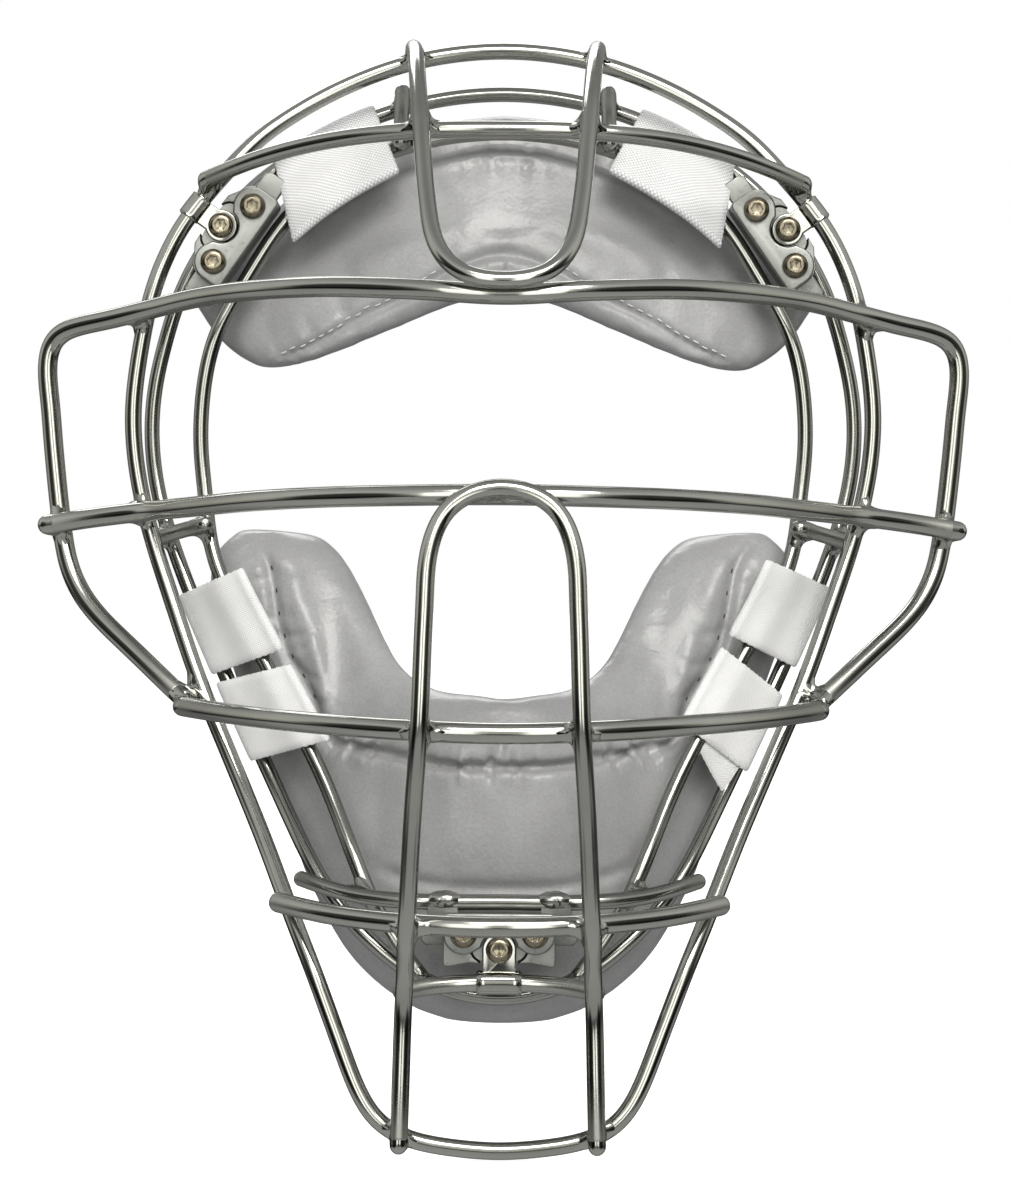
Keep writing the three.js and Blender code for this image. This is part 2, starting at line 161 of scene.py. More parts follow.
def make_world():
    """A light tent: pale walls, dark round the horizon, with a dark gap either side of the front."""
    world = bpy.data.worlds.new("studio")
    bpy.context.scene.world = world
    world.use_nodes = True
    tree = world.node_tree
    tree.nodes.clear()
    direction = add_node(tree, "ShaderNodeTexCoord").outputs["Generated"]
    parts = add_node(tree, "ShaderNodeSeparateXYZ", {0: direction}).outputs
    light = ramp(tree, maths(tree, "MULTIPLY_ADD", parts["Z"], 0.5, 0.5), WALLS)
    for side in (-1, 1):
        gap = (side * math.sin(GAP_ANGLE), -math.cos(GAP_ANGLE), 0.02)
        near = add_node(tree, "ShaderNodeVectorMath", {0: direction, 1: gap}, operation="DOT_PRODUCT")
        light = multiplied(tree, light, ramp(tree, near.outputs["Value"], GAP_FADE))
    light = multiplied(tree, light, ramp(tree, parts["Y"], BACK_FADE))
    studio = add_node(tree, "ShaderNodeBackground", {"Color": light})
    plain = add_node(tree, "ShaderNodeBackground", {"Color": (1, 1, 1, 1)})
    seen = add_node(tree, "ShaderNodeLightPath").outputs["Is Camera Ray"]
    both = add_node(tree, "ShaderNodeMixShader", {0: seen, 1: studio.outputs[0], 2: plain.outputs[0]})
    add_node(tree, "ShaderNodeOutputWorld", {"Surface": both.outputs[0]})


def soft_light(name, at, target, size, power, colour=(1, 1, 1)):
    data = bpy.data.lights.new(name, "AREA")
    data.shape = "RECTANGLE"
    data.size, data.size_y = size
    data.energy = power
    data.color = colour
    light = add_object(name, data)
    light.location = at
    light.rotation_mode = "QUATERNION"
    light.rotation_quaternion = (Vector(target) - Vector(at)).to_track_quat("-Z", "Y")


def make_floor():
    bm = bmesh.new()
    bmesh.ops.create_circle(bm, cap_ends=True, segments=64, radius=40)
    mesh = bpy.data.meshes.new("floor")
    bm.to_mesh(mesh)
    bm.free()
    floor = add_object("floor", mesh)
    floor.location.z = cad_box[0][2] - 0.4 * MM
    material, _, shader = new_material("floor")
    for key, value in FLOOR_LOOK.items():
        shader.inputs[key].default_value = value
    mesh.materials.append(material)
    floor.visible_diffuse = False
    floor.visible_glossy = False


def make_studio():
    make_world()
    soft_light("key", (0.25, -1.5, 1.15), (0, -0.05, 0), (1.3, 0.8), 34, (1, 0.985, 0.95))
    for word, x in (("left", -0.42), ("right", 0.42)):
        soft_light(f"front_{word}", (x, -1.6, 0.1), (0, -0.05, -0.05), (0.5, 1.1), 4.5, (1, 1, 0.96))
    soft_light("back_top", (-0.3, 1.4, 1.3), (0, 0, 0), (1.2, 0.8), 12)
    make_floor()
    bpy.context.scene.view_settings.view_transform = "Standard"


# ---------- materials ----------
def new_material(name):
    material = bpy.data.materials.new(name)
    material.use_nodes = True
    tree = material.node_tree
    return material, tree, tree.nodes["Principled BSDF"]


def grey_value(tree, colour_socket):
    return add_node(tree, "ShaderNodeRGBToBW", {0: colour_socket}).outputs[0]


def noise(tree, vector, scale, detail=4.0, roughness=0.55):
    inputs = {"Vector": vector, "Scale": scale, "Detail": detail, "Roughness": roughness}
    return add_node(tree, "ShaderNodeTexNoise", inputs).outputs["Fac"]


def bumped(tree, height, strength, distance, under=None):
    inputs = {"Height": height, "Strength": strength, "Distance": distance}
    if under is not None:
        inputs["Normal"] = under
    return add_node(tree, "ShaderNodeBump", inputs).outputs["Normal"]


def scaled(tree, vector, scale):
    return add_node(tree, "ShaderNodeMapping", {"Vector": vector, "Scale": scale}).outputs[0]


def metal(name, dark, light, rough, grain=(60, 60, 60), grain_bump=0.02, spots=None):
    """Metal whose tone and polish wander a little, with fine lines or grain in its surface."""
    material, tree, shader = new_material(name)
    vector = add_node(tree, "ShaderNodeTexCoord").outputs["Object"]
    cloud = noise(tree, vector, 28.0)
    tone = ramp(tree, cloud, [(0.3, dark), (0.7, light)])
    if spots:
        speck = noise(tree, vector, 900.0, 2.0)
        tone = multiplied(tree, tone, ramp(tree, speck, [(0.3, spots), (0.42, 1.0)]))
    tree.links.new(tone, shader.inputs["Base Color"])
    smear = noise(tree, vector, 130.0, 6.0, 0.65)
    polish = ramp(tree, smear, [(0.3, rough * 0.75), (0.75, rough * 1.5)])
    matte = add_node(tree, "ShaderNodeAttribute", attribute_name="matte").outputs["Fac"]
    dulled = maths(tree, "MULTIPLY_ADD", matte, 0.3, grey_value(tree, polish))
    tree.links.new(dulled, shader.inputs["Roughness"])
    shader.inputs["Metallic"].default_value = 1
    fine = noise(tree, scaled(tree, vector, grain), 40.0, 3.0)
    tree.links.new(bumped(tree, fine, grain_bump, 0.0002), shader.inputs["Normal"])
    return material


def vinyl(name, dark, light, rough, sheen=0.0):
    """Satin vinyl: a fine leather grain, soft mottling, and shine that comes and goes."""
    material, tree, shader = new_material(name)
    vector = add_node(tree, "ShaderNodeTexCoord").outputs["Object"]
    mottle = noise(tree, vector, 32.0, 5.0, 0.6)
    tone = ramp(tree, mottle, [(0.3, dark), (0.7, light)])
    speckle = ramp(tree, noise(tree, vector, 1500.0, 2.0), [(0.35, 0.9), (0.6, 1.0)])
    tree.links.new(multiplied(tree, tone, speckle), shader.inputs["Base Color"])
    shine = ramp(tree, noise(tree, vector, 55.0, 3.0), [(0.3, rough * 0.85), (0.7, rough * 1.25)])
    tree.links.new(grey_value(tree, shine), shader.inputs["Roughness"])
    cells = {"Vector": vector, "Scale": 900.0}
    pebbles = add_node(tree, "ShaderNodeTexVoronoi", cells, feature="SMOOTH_F1").outputs["Distance"]
    grain = bumped(tree, pebbles, 0.16, 0.0004)
    soft = bumped(tree, noise(tree, vector, 120.0, 4.0), 0.14, 0.0015, grain)
    tree.links.new(soft, shader.inputs["Normal"])
    shader.inputs["Sheen Weight"].default_value = sheen
    shader.inputs["Sheen Roughness"].default_value = 0.4
    return material


def webbing(name, light, dark, pitch, dot_depth):
    """Woven tape: rows of small pits both ways over a fine thread pattern, on UVs in metres."""
    material, tree, shader = new_material(name)
    vector = add_node(tree, "ShaderNodeTexCoord").outputs["UV"]
    parts = add_node(tree, "ShaderNodeSeparateXYZ", {0: vector}).outputs

    def wave(axis, period):
        return maths(tree, "SINE", maths(tree, "MULTIPLY", parts[axis], 2 * math.pi / period))

    pits = maths(tree, "MULTIPLY", wave("X", pitch), wave("Y", pitch))
    rib = wave("X", pitch / 2.5)
    wander = noise(tree, vector, 90.0, 3.0)
    tone = ramp(tree, pits, [(0.0, dark), (0.35, light)])
    tone = multiplied(tree, tone, ramp(tree, wander, [(0.3, 0.93), (0.7, 1.0)]))
    tree.links.new(tone, shader.inputs["Base Color"])
    shader.inputs["Roughness"].default_value = 0.85
    shader.inputs["Sheen Weight"].default_value = 0.25
    woven = bumped(tree, pits, dot_depth, 0.0004)
    ribbed = bumped(tree, rib, 0.12, 0.0002, woven)
    fuzz = bumped(tree, noise(tree, vector, 2500.0, 2.0), 0.2, 0.0002, ribbed)
    tree.links.new(fuzz, shader.inputs["Normal"])
    return material


CHROME = metal("chrome", (0.315, 0.315, 0.29), (0.375, 0.375, 0.347), 0.125, (5, 5, 5), 0.03)
BASE_CHROME = metal("base_chrome", (0.25, 0.25, 0.231), (0.31, 0.31, 0.288), 0.14, (5, 5, 5), 0.03)
SATIN = metal("satin_plate", (0.215, 0.22, 0.208), (0.265, 0.27, 0.255), 0.38, (1, 1, 1), 0.06, 0.8)
BRONZE = metal("screw_steel", (0.13, 0.115, 0.085), (0.27, 0.24, 0.175), 0.24, (9, 9, 9), 0.08, 0.5)
SPRING_STEEL = metal("spring_steel", (0.5, 0.5, 0.48), (0.62, 0.62, 0.6), 0.25)
VINYL = vinyl("pad_vinyl", (0.265, 0.265, 0.268), (0.345, 0.345, 0.349), 0.31, 0.08)
LINING = vinyl("pad_lining", (0.22, 0.22, 0.218), (0.28, 0.28, 0.277), 0.75, 0.4)
WEB_DOTTED = webbing("strap_dotted", 0.84, (0.55, 0.55, 0.56), 0.0011, 0.35)
WEB_PLAIN = webbing("strap_plain", 0.83, 0.7, 0.0008, 0.25)
WHITE_THREAD = vinyl("white_thread", 0.5, 0.66, 0.6)
BLACK_THREAD = vinyl("black_thread", 0.02, 0.05, 0.7)


# ---------- mesh helpers ----------
def new_object(name, points, faces, materials, uvs=None):
    mesh = bpy.data.meshes.new(name)
    mesh.from_pydata([tuple(p) for p in points], [], faces)
    for material in materials:
        mesh.materials.append(material)
    if uvs is not None:
        layer = mesh.uv_layers.new(name="metres")
        for loop in mesh.loops:
            layer.data[loop.index].uv = uvs[loop.vertex_index]
    mesh.shade_smooth()
    mesh.update()
    return add_object(name, mesh)


def tidied(piece, sharp=None):
    """Joins doubled vertices, turns the faces out, and keeps edges sharper than that angle sharp."""
    bm = bmesh.new()
    bm.from_mesh(piece.data)
    bmesh.ops.remove_doubles(bm, verts=bm.verts, dist=1e-6)
    bmesh.ops.recalc_face_normals(bm, faces=bm.faces)
    bm.to_mesh(piece.data)
    bm.free()
    piece.data.shade_smooth()
    if sharp:
        piece.data.set_sharp_from_angle(angle=math.radians(sharp))
    return piece


def finish_piece(piece, body, slot, *nodes):
    if nodes:
        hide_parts(*nodes)
    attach(piece, body)


def rows_of_quads(rows, sides, loop=False):
    """The faces between rings of points, one ring for each row; the last joins the first if loop."""
    faces = []
    for i in range(rows if loop else rows - 1):
        below, above = i * sides, (i + 1) % rows * sides
        for j in range(sides):
            k = (j + 1) % sides
            faces.append((below + j, below + k, above + k, above + j))
    return faces


def lengths_along(line):
    """The distance along a line of points from its start to each point."""
    return np.concatenate([[0], np.cumsum(np.linalg.norm(np.diff(line, axis=0), axis=1))])


def points_along(line, at):
    """The points on a line at those distances from its start."""
    run = lengths_along(line)
    return np.stack([np.interp(at, run, line[:, k]) for k in range(3)], axis=-1)


def read_vectors(items, key):
    """The coordinates or normals of a mesh's vertices or faces, one row each."""
    flat = np.zeros(len(items) * 3, np.float32)
    items.foreach_get(key, flat)
    return flat.reshape(-1, 3).astype(float)


# ---------- wires ----------
def centre_line(name):
    """The centres, from end to end, and the radius of the rings that a CAD wire is made of."""
    bm = bmesh.new()
    bm.from_mesh(frame["nodes"][name].data)
    bmesh.ops.remove_doubles(bm, verts=bm.verts, dist=1e-5)
    bm.faces.ensure_lookup_table()
    bm.verts.ensure_lookup_table()

    def levels(start):
        found, seen = [list(start)], set(start)
        while True:
            step = {e.other_vert(v) for v in found[-1] for e in v.link_edges} - seen
            if not step:
                return found
            seen |= step
            found.append(sorted(step, key=lambda v: v.index))

    def flat_region(face):
        region, open_faces = {face}, [face]
        while open_faces:
            for edge in open_faces.pop().edges:
                for other in edge.link_faces:
                    if other not in region and other.normal.dot(face.normal) > 0.99999:
                        region.add(other)
                        open_faces.append(other)
        return region

    def unroundness(points):
        middle = sum((v.co for v in points), Vector()) / len(points)
        reach = [(v.co - middle).length for v in points]
        return (max(reach) - min(reach)) / max(reach) + (len(points) < 6)

    far = levels([bm.verts[0]])[-1][0]
    regions = [{v for f in flat_region(face) for v in f.verts} for face in far.link_faces]
    cap_points = sorted(min(regions, key=unroundness), key=lambda v: v.index)
    rings = levels(cap_points)
    if any(len(ring) != len(cap_points) for ring in rings):
        raise RuntimeError(f"{name} isn't a plain wire: its rings differ")
    centres = np.array([np.mean([v.co for v in ring], axis=0) for ring in rings])
    radius = np.mean([(v.co - Vector(centres[0])).length for v in rings[0]])
    bm.free()
    return centres, radius


def cubic_through(points, step, closed=False):
    """A cubic spline through points, by chord length, sampled about every step metres."""
    points = np.array(points, float)
    if closed:
        points = np.vstack([points, points[:1]])
    lengths = np.linalg.norm(np.diff(points, axis=0), axis=1)
    at = lengths_along(points)
    count = len(points)
    system = np.zeros((count, count))
    right = np.zeros((count, 3))
    slopes = np.diff(points, axis=0) / lengths[:, None]
    for i in range(1, count - 1):
        system[i, i - 1] = lengths[i - 1]
        system[i, i] = 2 * (lengths[i - 1] + lengths[i])
        system[i, i + 1] = lengths[i]
        right[i] = 6 * (slopes[i] - slopes[i - 1])
    if closed:
        system[0, 0] = 2 * (lengths[-1] + lengths[0])
        system[0, 1] = lengths[0]
        system[0, -2] = lengths[-1]
        right[0] = 6 * (slopes[0] - slopes[-1])
        system[-1, 0], system[-1, -1] = 1, -1
    else:
        system[0, 0] = system[-1, -1] = 1
    bend = np.linalg.solve(system, right)
    total = at[-1]
    samples = max(2, int(round(total / step)) + (0 if closed else 1))
    wanted = np.linspace(0, total, samples, endpoint=not closed)
    k = np.clip(np.searchsorted(at, wanted, side="right") - 1, 0, count - 2)
    h = lengths[k][:, None]
    a = ((at[k + 1] - wanted) / lengths[k])[:, None]
    b = 1 - a
    bent = ((a**3 - a) * bend[k] + (b**3 - b) * bend[k + 1]) * h**2 / 6
    return a * points[k] + b * points[k + 1] + bent


def eased(points, spread, closed=False):
    """points with small wobbles smoothed away over spread samples; an open line keeps its ends."""
    reach = int(3 * spread)
    weights = np.exp(-0.5 * (np.arange(-reach, reach + 1) / spread) ** 2)
    weights /= weights.sum()
    if closed:
        padded = np.vstack([points[-reach:], points, points[:reach]])
    else:
        before = 2 * points[0] - points[1 : reach + 1][::-1]
        after = 2 * points[-1] - points[-reach - 1 : -1][::-1]
        padded = np.vstack([before, points, after])
    return np.stack([np.convolve(padded[:, k], weights, "valid") for k in range(3)], axis=1)


def frames_along(line, closed):
    """Unit tangents and two unit side directions that turn as little as they can along line."""
    ahead = np.roll(line, -1, axis=0) - np.roll(line, 1, axis=0)
    if not closed:
        ahead[0] = line[1] - line[0]
        ahead[-1] = line[-1] - line[-2]
    tangent = ahead / np.linalg.norm(ahead, axis=1)[:, None]
    side = np.array((0.0, 1.0, 0.0))
    sides = []
    for t in tangent:
        side = side - t * (side @ t)
        side /= np.linalg.norm(side)
        sides.append(side)
    sides = np.array(sides)
    if closed:
        end = sides[-1] - tangent[0] * (sides[-1] @ tangent[0])
        turn = math.atan2(np.cross(end, sides[0]) @ tangent[0], end @ sides[0])
        other = np.cross(tangent, sides)
        angle = np.linspace(0, turn, len(line))[:, None]
        sides = sides * np.cos(angle) + other * np.sin(angle)
    return tangent, sides, np.cross(tangent, sides)


def tube_piece(name, line, radius, materials, closed=False, sides=24, blunt=0.9, radii=None, matte=0.0):
    """A round wire along line; open ends are rounded over within its length and matte for that far."""
    tangent, u, v = frames_along(line, closed)
    angles = np.linspace(0, 2 * math.pi, sides, endpoint=False)
    size = np.full(len(line), radius) if radii is None else np.array(radii)
    run = lengths_along(line)
    rows = [(line[i], size[i], i, run[i]) for i in range(len(line))]
    if not closed:
        reach = radius * blunt

        def rounded(end, inward, length_at):
            made = []
            for degrees in (4, 18, 36, 54, 72, 90):
                turn = math.radians(degrees)
                back = reach * (1 - math.cos(turn))
                around = size[end] * (1 - blunt + blunt * math.sin(turn))
                made.append((line[end] + inward * back, around, end, abs(length_at - back)))
            return made

        first = rounded(0, tangent[0], 0)
        last = rounded(len(line) - 1, -tangent[-1], run[-1])
        rows = first + [row for row in rows if reach < row[3] < run[-1] - reach] + last[::-1]
    points, uvs, dull = [], [], []
    for centre, around, i, length in rows:
        near_end = min(length, run[-1] - length)
        for angle in angles:
            points.append(centre + around * (math.cos(angle) * u[i] + math.sin(angle) * v[i]))
            uvs.append((angle * radius, length))
            dull.append(math.exp(-((near_end / matte) ** 2)) if matte else 0.0)
    faces = rows_of_quads(len(rows), sides, closed)
    if not closed:
        for row, ring in ((0, 0), (len(rows) - 1, (len(rows) - 1) * sides)):
            points.append(rows[row][0])
            uvs.append((0, rows[row][3]))
            dull.append(1.0 if matte else 0.0)
            centre = len(points) - 1
            faces += [(ring + j, ring + (j + 1) % sides, centre) for j in range(sides)]
    piece = new_object(name, points, faces, materials, uvs)
    piece.data.attributes.new("matte", "FLOAT", "POINT").data.foreach_set("value", dull)
    return tidied(piece, 60)


CAGE_WIRES = [
    "outer_ring", "brow_bar", "eye_upper_bar", "eye_lower_bar", "mouth_bar", "chin_bar",
    "top_u_bar", "nose_u_bar", "throat_bar",
]
BASE_WIRES = [
    "base_ring", "base_inner_ring", "base_chin_bar",
    "top_link_right", "top_link_left", "side_link_right", "side_link_left",
]
CLOSED_WIRES = ("outer_ring", "base_ring")
WIRE_STEP = 1.25 * MM
MATTE_END = 11 * MM
wires = {}


def make_wires():
    for name in CAGE_WIRES + BASE_WIRES:
        centres, radius = centre_line(name)
        closed = name in CLOSED_WIRES
        if closed:
            centres = np.vstack([(centres[0] + centres[-1]) / 2, centres[1:-1]])
        line = cubic_through(centres, WIRE_STEP, closed)
        if len(line) > 30:
            line = eased(line, 2.2, closed)
        wires[name] = (line, radius, closed)
        on_cage = name in CAGE_WIRES
        metals = [CHROME if on_cage else BASE_CHROME]
        piece = tube_piece(f"{name}_wire", line, radius, metals, closed, matte=0 if closed else MATTE_END)
        body, slot = (CAGE, "cage_wire") if on_cage else (BASE, "base_wire")
        finish_piece(piece, body, slot, name)


# ---------- welds ----------
WELD_SLACK = 1.4 * MM
WELD_BLEND = 4.0 * MM


def distance_to_line(points, line):
    """Distance from each point to a polyline."""
    best = np.full(len(points), 1e9)
    for start, edge in zip(line[:-1], np.diff(line, axis=0)):
        along = np.clip(((points - start) @ edge) / (edge @ edge), 0, 1)
        best = np.minimum(best, np.linalg.norm(points - start - along[:, None] * edge, axis=1))
    return best


def near_part(line, centre, reach, closed):
    """The stretch of line near centre."""
    at = int(np.argmin(np.linalg.norm(line - centre, axis=1)))
    half = int(reach / WIRE_STEP) + 2
    if closed:
        return line[np.arange(at - half, at + half + 1) % len(line)]
    return line[max(0, at - half) : at + half + 1]


def smooth_least(a, b, k):
    """The lesser of a and b, rounded over where they are within k of each other."""
    h = np.maximum(k - np.abs(a - b), 0) / k
    return np.minimum(a, b) - h * h * k / 4


def weld_shape(centre, wire_a, wire_b, sphere):
    """The fillet of weld metal where two wires cross: their smoothly joined surface close to centre."""
    (line_a, radius_a, closed_a), (line_b, radius_b, closed_b) = wire_a, wire_b
    reach = radius_a + radius_b + 1.6 * MM
    part_a = near_part(line_a, centre, reach * 2, closed_a)
    part_b = near_part(line_b, centre, reach * 2, closed_b)
    lumps = 1 + 0.22 * np.sin(sphere @ np.array([5.1, 7.3, 4.4]) + centre @ np.array([900, 700, 500]))

    def clear(distance):
        """Which points that far from centre are outside the joined surface."""
        points = centre + sphere * distance[:, None]
        gap_a = distance_to_line(points, part_a) - radius_a
        gap_b = distance_to_line(points, part_b) - radius_b
        return smooth_least(gap_a, gap_b, WELD_BLEND * lumps) > -0.04 * MM

    steps = 18
    high = np.full(len(sphere), reach)
    for k in range(1, steps + 1):
        trial = np.full(len(sphere), reach * k / steps)
        high = np.where(clear(trial) & (trial < high), trial, high)
    low = np.maximum(high - reach / steps, 0)
    for _ in range(7):
        middle = (low + high) / 2
        out = clear(middle)
        low = np.where(out, low, middle)
        high = np.where(out, middle, high)
    return centre + sphere * low[:, None]


def unit_sphere(subdivisions):
    bm = bmesh.new()
    bmesh.ops.create_icosphere(bm, subdivisions=subdivisions, radius=1)
    points = np.array([v.co for v in bm.verts])
    faces = [tuple(v.index for v in f.verts) for f in bm.faces]
    bm.free()
    return points / np.linalg.norm(points, axis=1)[:, None], faces


def crossings(name_a, name_b):
    """The places where two wires touch: one for each short stretch that is close, two for a long one."""
    (a, radius_a, _), (b, radius_b, _) = wires[name_a], wires[name_b]
    gaps = np.linalg.norm(a[:, None] - b[None], axis=2)
    nearest = gaps.argmin(axis=1)
    close = gaps.min(axis=1)
    touching = np.flatnonzero(close < radius_a + radius_b + WELD_SLACK)
    found = []
    if len(touching) == 0:
        return found
    for run in np.split(touching, np.flatnonzero(np.diff(touching) > 3) + 1):
        long = len(run) * WIRE_STEP > 16 * MM
        for i in [run[3], run[-4]] if long else [run[close[run].argmin()]]:
            pa, pb = a[i], b[nearest[i]]
            away = (pb - pa) / max(np.linalg.norm(pb - pa), 1e-9)
            found.append(((pa + away * radius_a) + (pb - away * radius_b)) / 2)
    return found


def make_welds():
    sphere, faces = unit_sphere(4)
    for body, names, material, slot, title in (
        (CAGE, CAGE_WIRES, CHROME, "cage_wire", "cage_welds"),
        (BASE, BASE_WIRES, BASE_CHROME, "base_wire", "base_welds"),
    ):
        points, all_faces = [], []
        for i, a in enumerate(names):
            for b in names[i + 1 :]:
                for centre in crossings(a, b):
                    start = len(points)
                    points += list(weld_shape(centre, wires[a], wires[b], sphere))
                    all_faces += [tuple(start + k for k in face) for face in faces]
        finish_piece(new_object(title, points, all_faces, [material]), body, slot)


# ---------- spring modules ----------
# A module's own frame: X along the wires, Y back, Z out to the cage's bar, in millimetres.
PLATE = {"thick": 2.6, "lobe_r": 5.3, "lobe_x": 9.3, "lobe_z": -4, "inner_z": -9.4, "recess_r": 4.75}
BLOCK = {"front": 2.9, "back": 14.4, "outer_z": 4.7, "end_x": 14.6}
SCREW = {"head_r": 3.5, "head_h": 2.1, "shank_r": 1.4}
TAB = {"front": 0.3, "thick": 2.3, "end_r": 4.4, "reach": 8.6}
MODULES = {"temple_right": 55, "temple_left": -55, "chin": 180}
SLEEVE_WIDTH = {"temple_right": 7, "temple_left": 7, "chin": 12}
SLEEVE_ON = {"temple_right": "outer_ring", "temple_left": "outer_ring", "chin": "throat_bar"}
CUP = {"slot_x": 3.8, "slot_r": 3.65, "key_r": 4.8, "mouth_x": 4.95, "bore_r": 3.7}
SPRING = {"turns": 4, "coil_r": 2.85, "wire_r": 0.42}
# Outlines of the right foot, by x beyond the cup's end and z, and of the right bracket.
FOOT = [(-3, -7), (4.8, -7), (6, -5.6), (6, -1.4), (4.8, 0), (-3, 0)]
BRACKET = [(11.2, -13.4), (18.4, -13.4), (19, -8), (10.5, -8)]


def arc(x, z, radius, start, end, steps=14):
    angles = np.linspace(math.radians(start), math.radians(end), steps)
    return [(x + radius * math.cos(a), z + radius * math.sin(a)) for a in angles]


def sheet_metal(name, loops, front, back, bevel, place, material):
    """A flat piece with rounded edges from closed x, z loops: its outline, then its holes."""
    curve = bpy.data.curves.new(name, "CURVE")
    curve.dimensions = "2D"
    curve.fill_mode = "BOTH"
    curve.extrude = ((back - front) / 2 - bevel) * MM
    curve.bevel_depth = bevel * MM
    curve.bevel_resolution = 3
    curve.offset = -bevel * MM
    for loop in loops:
        spline = curve.splines.new("POLY")
        spline.points.add(len(loop) - 1)
        for point, (x, z) in zip(spline.points, loop):
            point.co = (x * MM, z * MM, 0, 1)
        spline.use_cyclic_u = True
    drawn = add_object(name, curve)
    bpy.context.view_layer.update()
    ready = drawn.evaluated_get(bpy.context.evaluated_depsgraph_get())
    mesh = bpy.data.meshes.new_from_object(ready)
    bpy.data.objects.remove(drawn)
    middle = Matrix.Translation((0, (front + back) / 2 * MM, 0))
    mesh.transform(place @ middle @ Matrix.Rotation(math.pi / 2, 4, "X"))
    mesh.materials.clear()
    mesh.materials.append(material)
    return tidied(add_object(name, mesh), 50)


def mirrored(line):
    return [(-x, z) for x, z in line]


def lobed_outline():
    lobe_r, lobe_x, inner_z, round_r = PLATE["lobe_r"], PLATE["lobe_x"], PLATE["inner_z"], 1.5
    end_x = lobe_x + lobe_r - round_r
    half = [(0, inner_z), (end_x, inner_z)]
    half += arc(end_x, inner_z + round_r, round_r, -90, 0, 6)[1:]
    half += arc(lobe_x, PLATE["lobe_z"], lobe_r, 0, 128, 20)
    half += arc(0, 0, PLATE["recess_r"], -8, -90, 16)
    return half + mirrored(half[-2:0:-1])


def lathe_rings(profile, sides, place):
    """Points of rings round the Y axis from (radius, y) pairs; a radius may be a function of the angle."""
    points = []
    for radius, y in profile:
        for k in range(sides):
            angle = 2 * math.pi * k / sides
            r = radius(angle) if callable(radius) else radius
            points.append(place @ Vector((r * math.cos(angle) * MM, y * MM, r * math.sin(angle) * MM)))
    return points


def closed_rings(name, points, sides, materials, sharp):
    """A closed piece from rings of points, its first and last ring filled."""
    rows = len(points) // sides
    faces = rows_of_quads(rows, sides)
    faces += [tuple(range(sides)), tuple(range((rows - 1) * sides, rows * sides))]
    return tidied(new_object(name, points, faces, materials), sharp)


def make_screw(name, place, length):
    """A button head with a hexagon socket on a plain shank; y = 0 is the top of the head."""
    head_r, head_h, shank_r = SCREW["head_r"], SCREW["head_h"], SCREW["shank_r"]

    def hexagon(size):
        return lambda angle: size / math.cos((angle % (math.pi / 3)) - math.pi / 6)

    profile = [(0.01, 1.45), (0.6, 1.4), (hexagon(1.3), 1.25), (hexagon(1.3), 0.2)]
    profile += [(hexagon(1.42), 0.06), (1.75, 0.0), (2.05, 0.02)]
    for degrees in (22, 38, 52, 64, 76, 86):
        turn = math.radians(degrees)
        dome = head_h * 0.86 * (1 - math.cos(turn)) ** 1.1
        profile.append((head_r * (0.5 + 0.5 * math.sin(turn)), dome))
    profile += [(head_r, head_h * 0.9), (head_r * 0.97, head_h)]
    profile += [(shank_r, head_h), (shank_r, head_h + length)]
    sides = 48
    return closed_rings(name, lathe_rings(profile, sides, place), sides, [BRONZE], 32)


def make_spring(name, place):
    """A close copy of the CAD coil as a smooth round wire."""
    low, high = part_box(name)
    wire_r, around = SPRING["wire_r"] * MM, 28
    start, end = low.y + wire_r, high.y - wire_r
    line = []
    for k in range(SPRING["turns"] * around + 1):
        angle = 2 * math.pi * k / around
        point = place @ (Vector((math.cos(angle), 0, math.sin(angle))) * SPRING["coil_r"] * MM)
        line.append((point.x, start + (end - start) * k / (SPRING["turns"] * around), point.z))
    piece = tube_piece(f"{name}_coil", np.array(line), wire_r, [SPRING_STEEL], sides=8)
    finish_piece(piece, BASE, "spring", name)
    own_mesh(piece)


def make_plate(name, place):
    holes = [arc(side * PLATE["lobe_x"], PLATE["lobe_z"], 1.9, 360, 0, 25)[:-1] for side in (-1, 1)]
    loops = [lobed_outline(), *holes]
    plate = sheet_metal(f"{name}_lobed_plate", loops, 0, PLATE["thick"], 0.5, place, SATIN)
    finish_piece(plate, BASE, "plate", f"{name}_plate")


def make_screws(name, place):
    """Two screws that hold the plate to the cup, and one that holds the tab to the plunger."""
    for side, x in (("a", -PLATE["lobe_x"]), ("b", PLATE["lobe_x"])):
        head = Matrix.Translation(Vector((x, -0.3 - SCREW["head_h"], PLATE["lobe_z"])) * MM)
        spin = Matrix.Rotation(math.radians(17 + 40 * x), 4, "Y")
        node = f"{name}_plate_screw_{side}"
        finish_piece(make_screw(f"{node}_button", place @ head @ spin, 10), BASE, "screw", node)
    head = Matrix.Translation((0, -SCREW["head_h"] * MM, 0))
    node = f"{name}_centre_screw"
    finish_piece(make_screw(f"{node}_button", place @ head, 6.5), CAGE, "screw", node)


def make_tab(name, place):
    """The blade that runs from the centre screw out to the cage's bar, and its sleeve."""
    width = min(TAB["end_r"], SLEEVE_WIDTH[name] / 2 - 0.2)
    start = math.degrees(math.acos(width / TAB["end_r"]))
    outline = arc(0, 0, TAB["end_r"], 180 - start, 360 + start, 30)
    outline += [(width, TAB["reach"] - 1.2), (-width, TAB["reach"] - 1.2)]
    hole = arc(0, 0, 1.7, 360, 0, 25)[:-1]
    back = TAB["front"] + TAB["thick"]
    blade = sheet_metal(f"{name}_tab_blade", [outline, hole], TAB["front"], back, 0.45, place, CHROME)
    finish_piece(blade, CAGE, "plate", f"{name}_tab")
    make_sleeve(name, place)


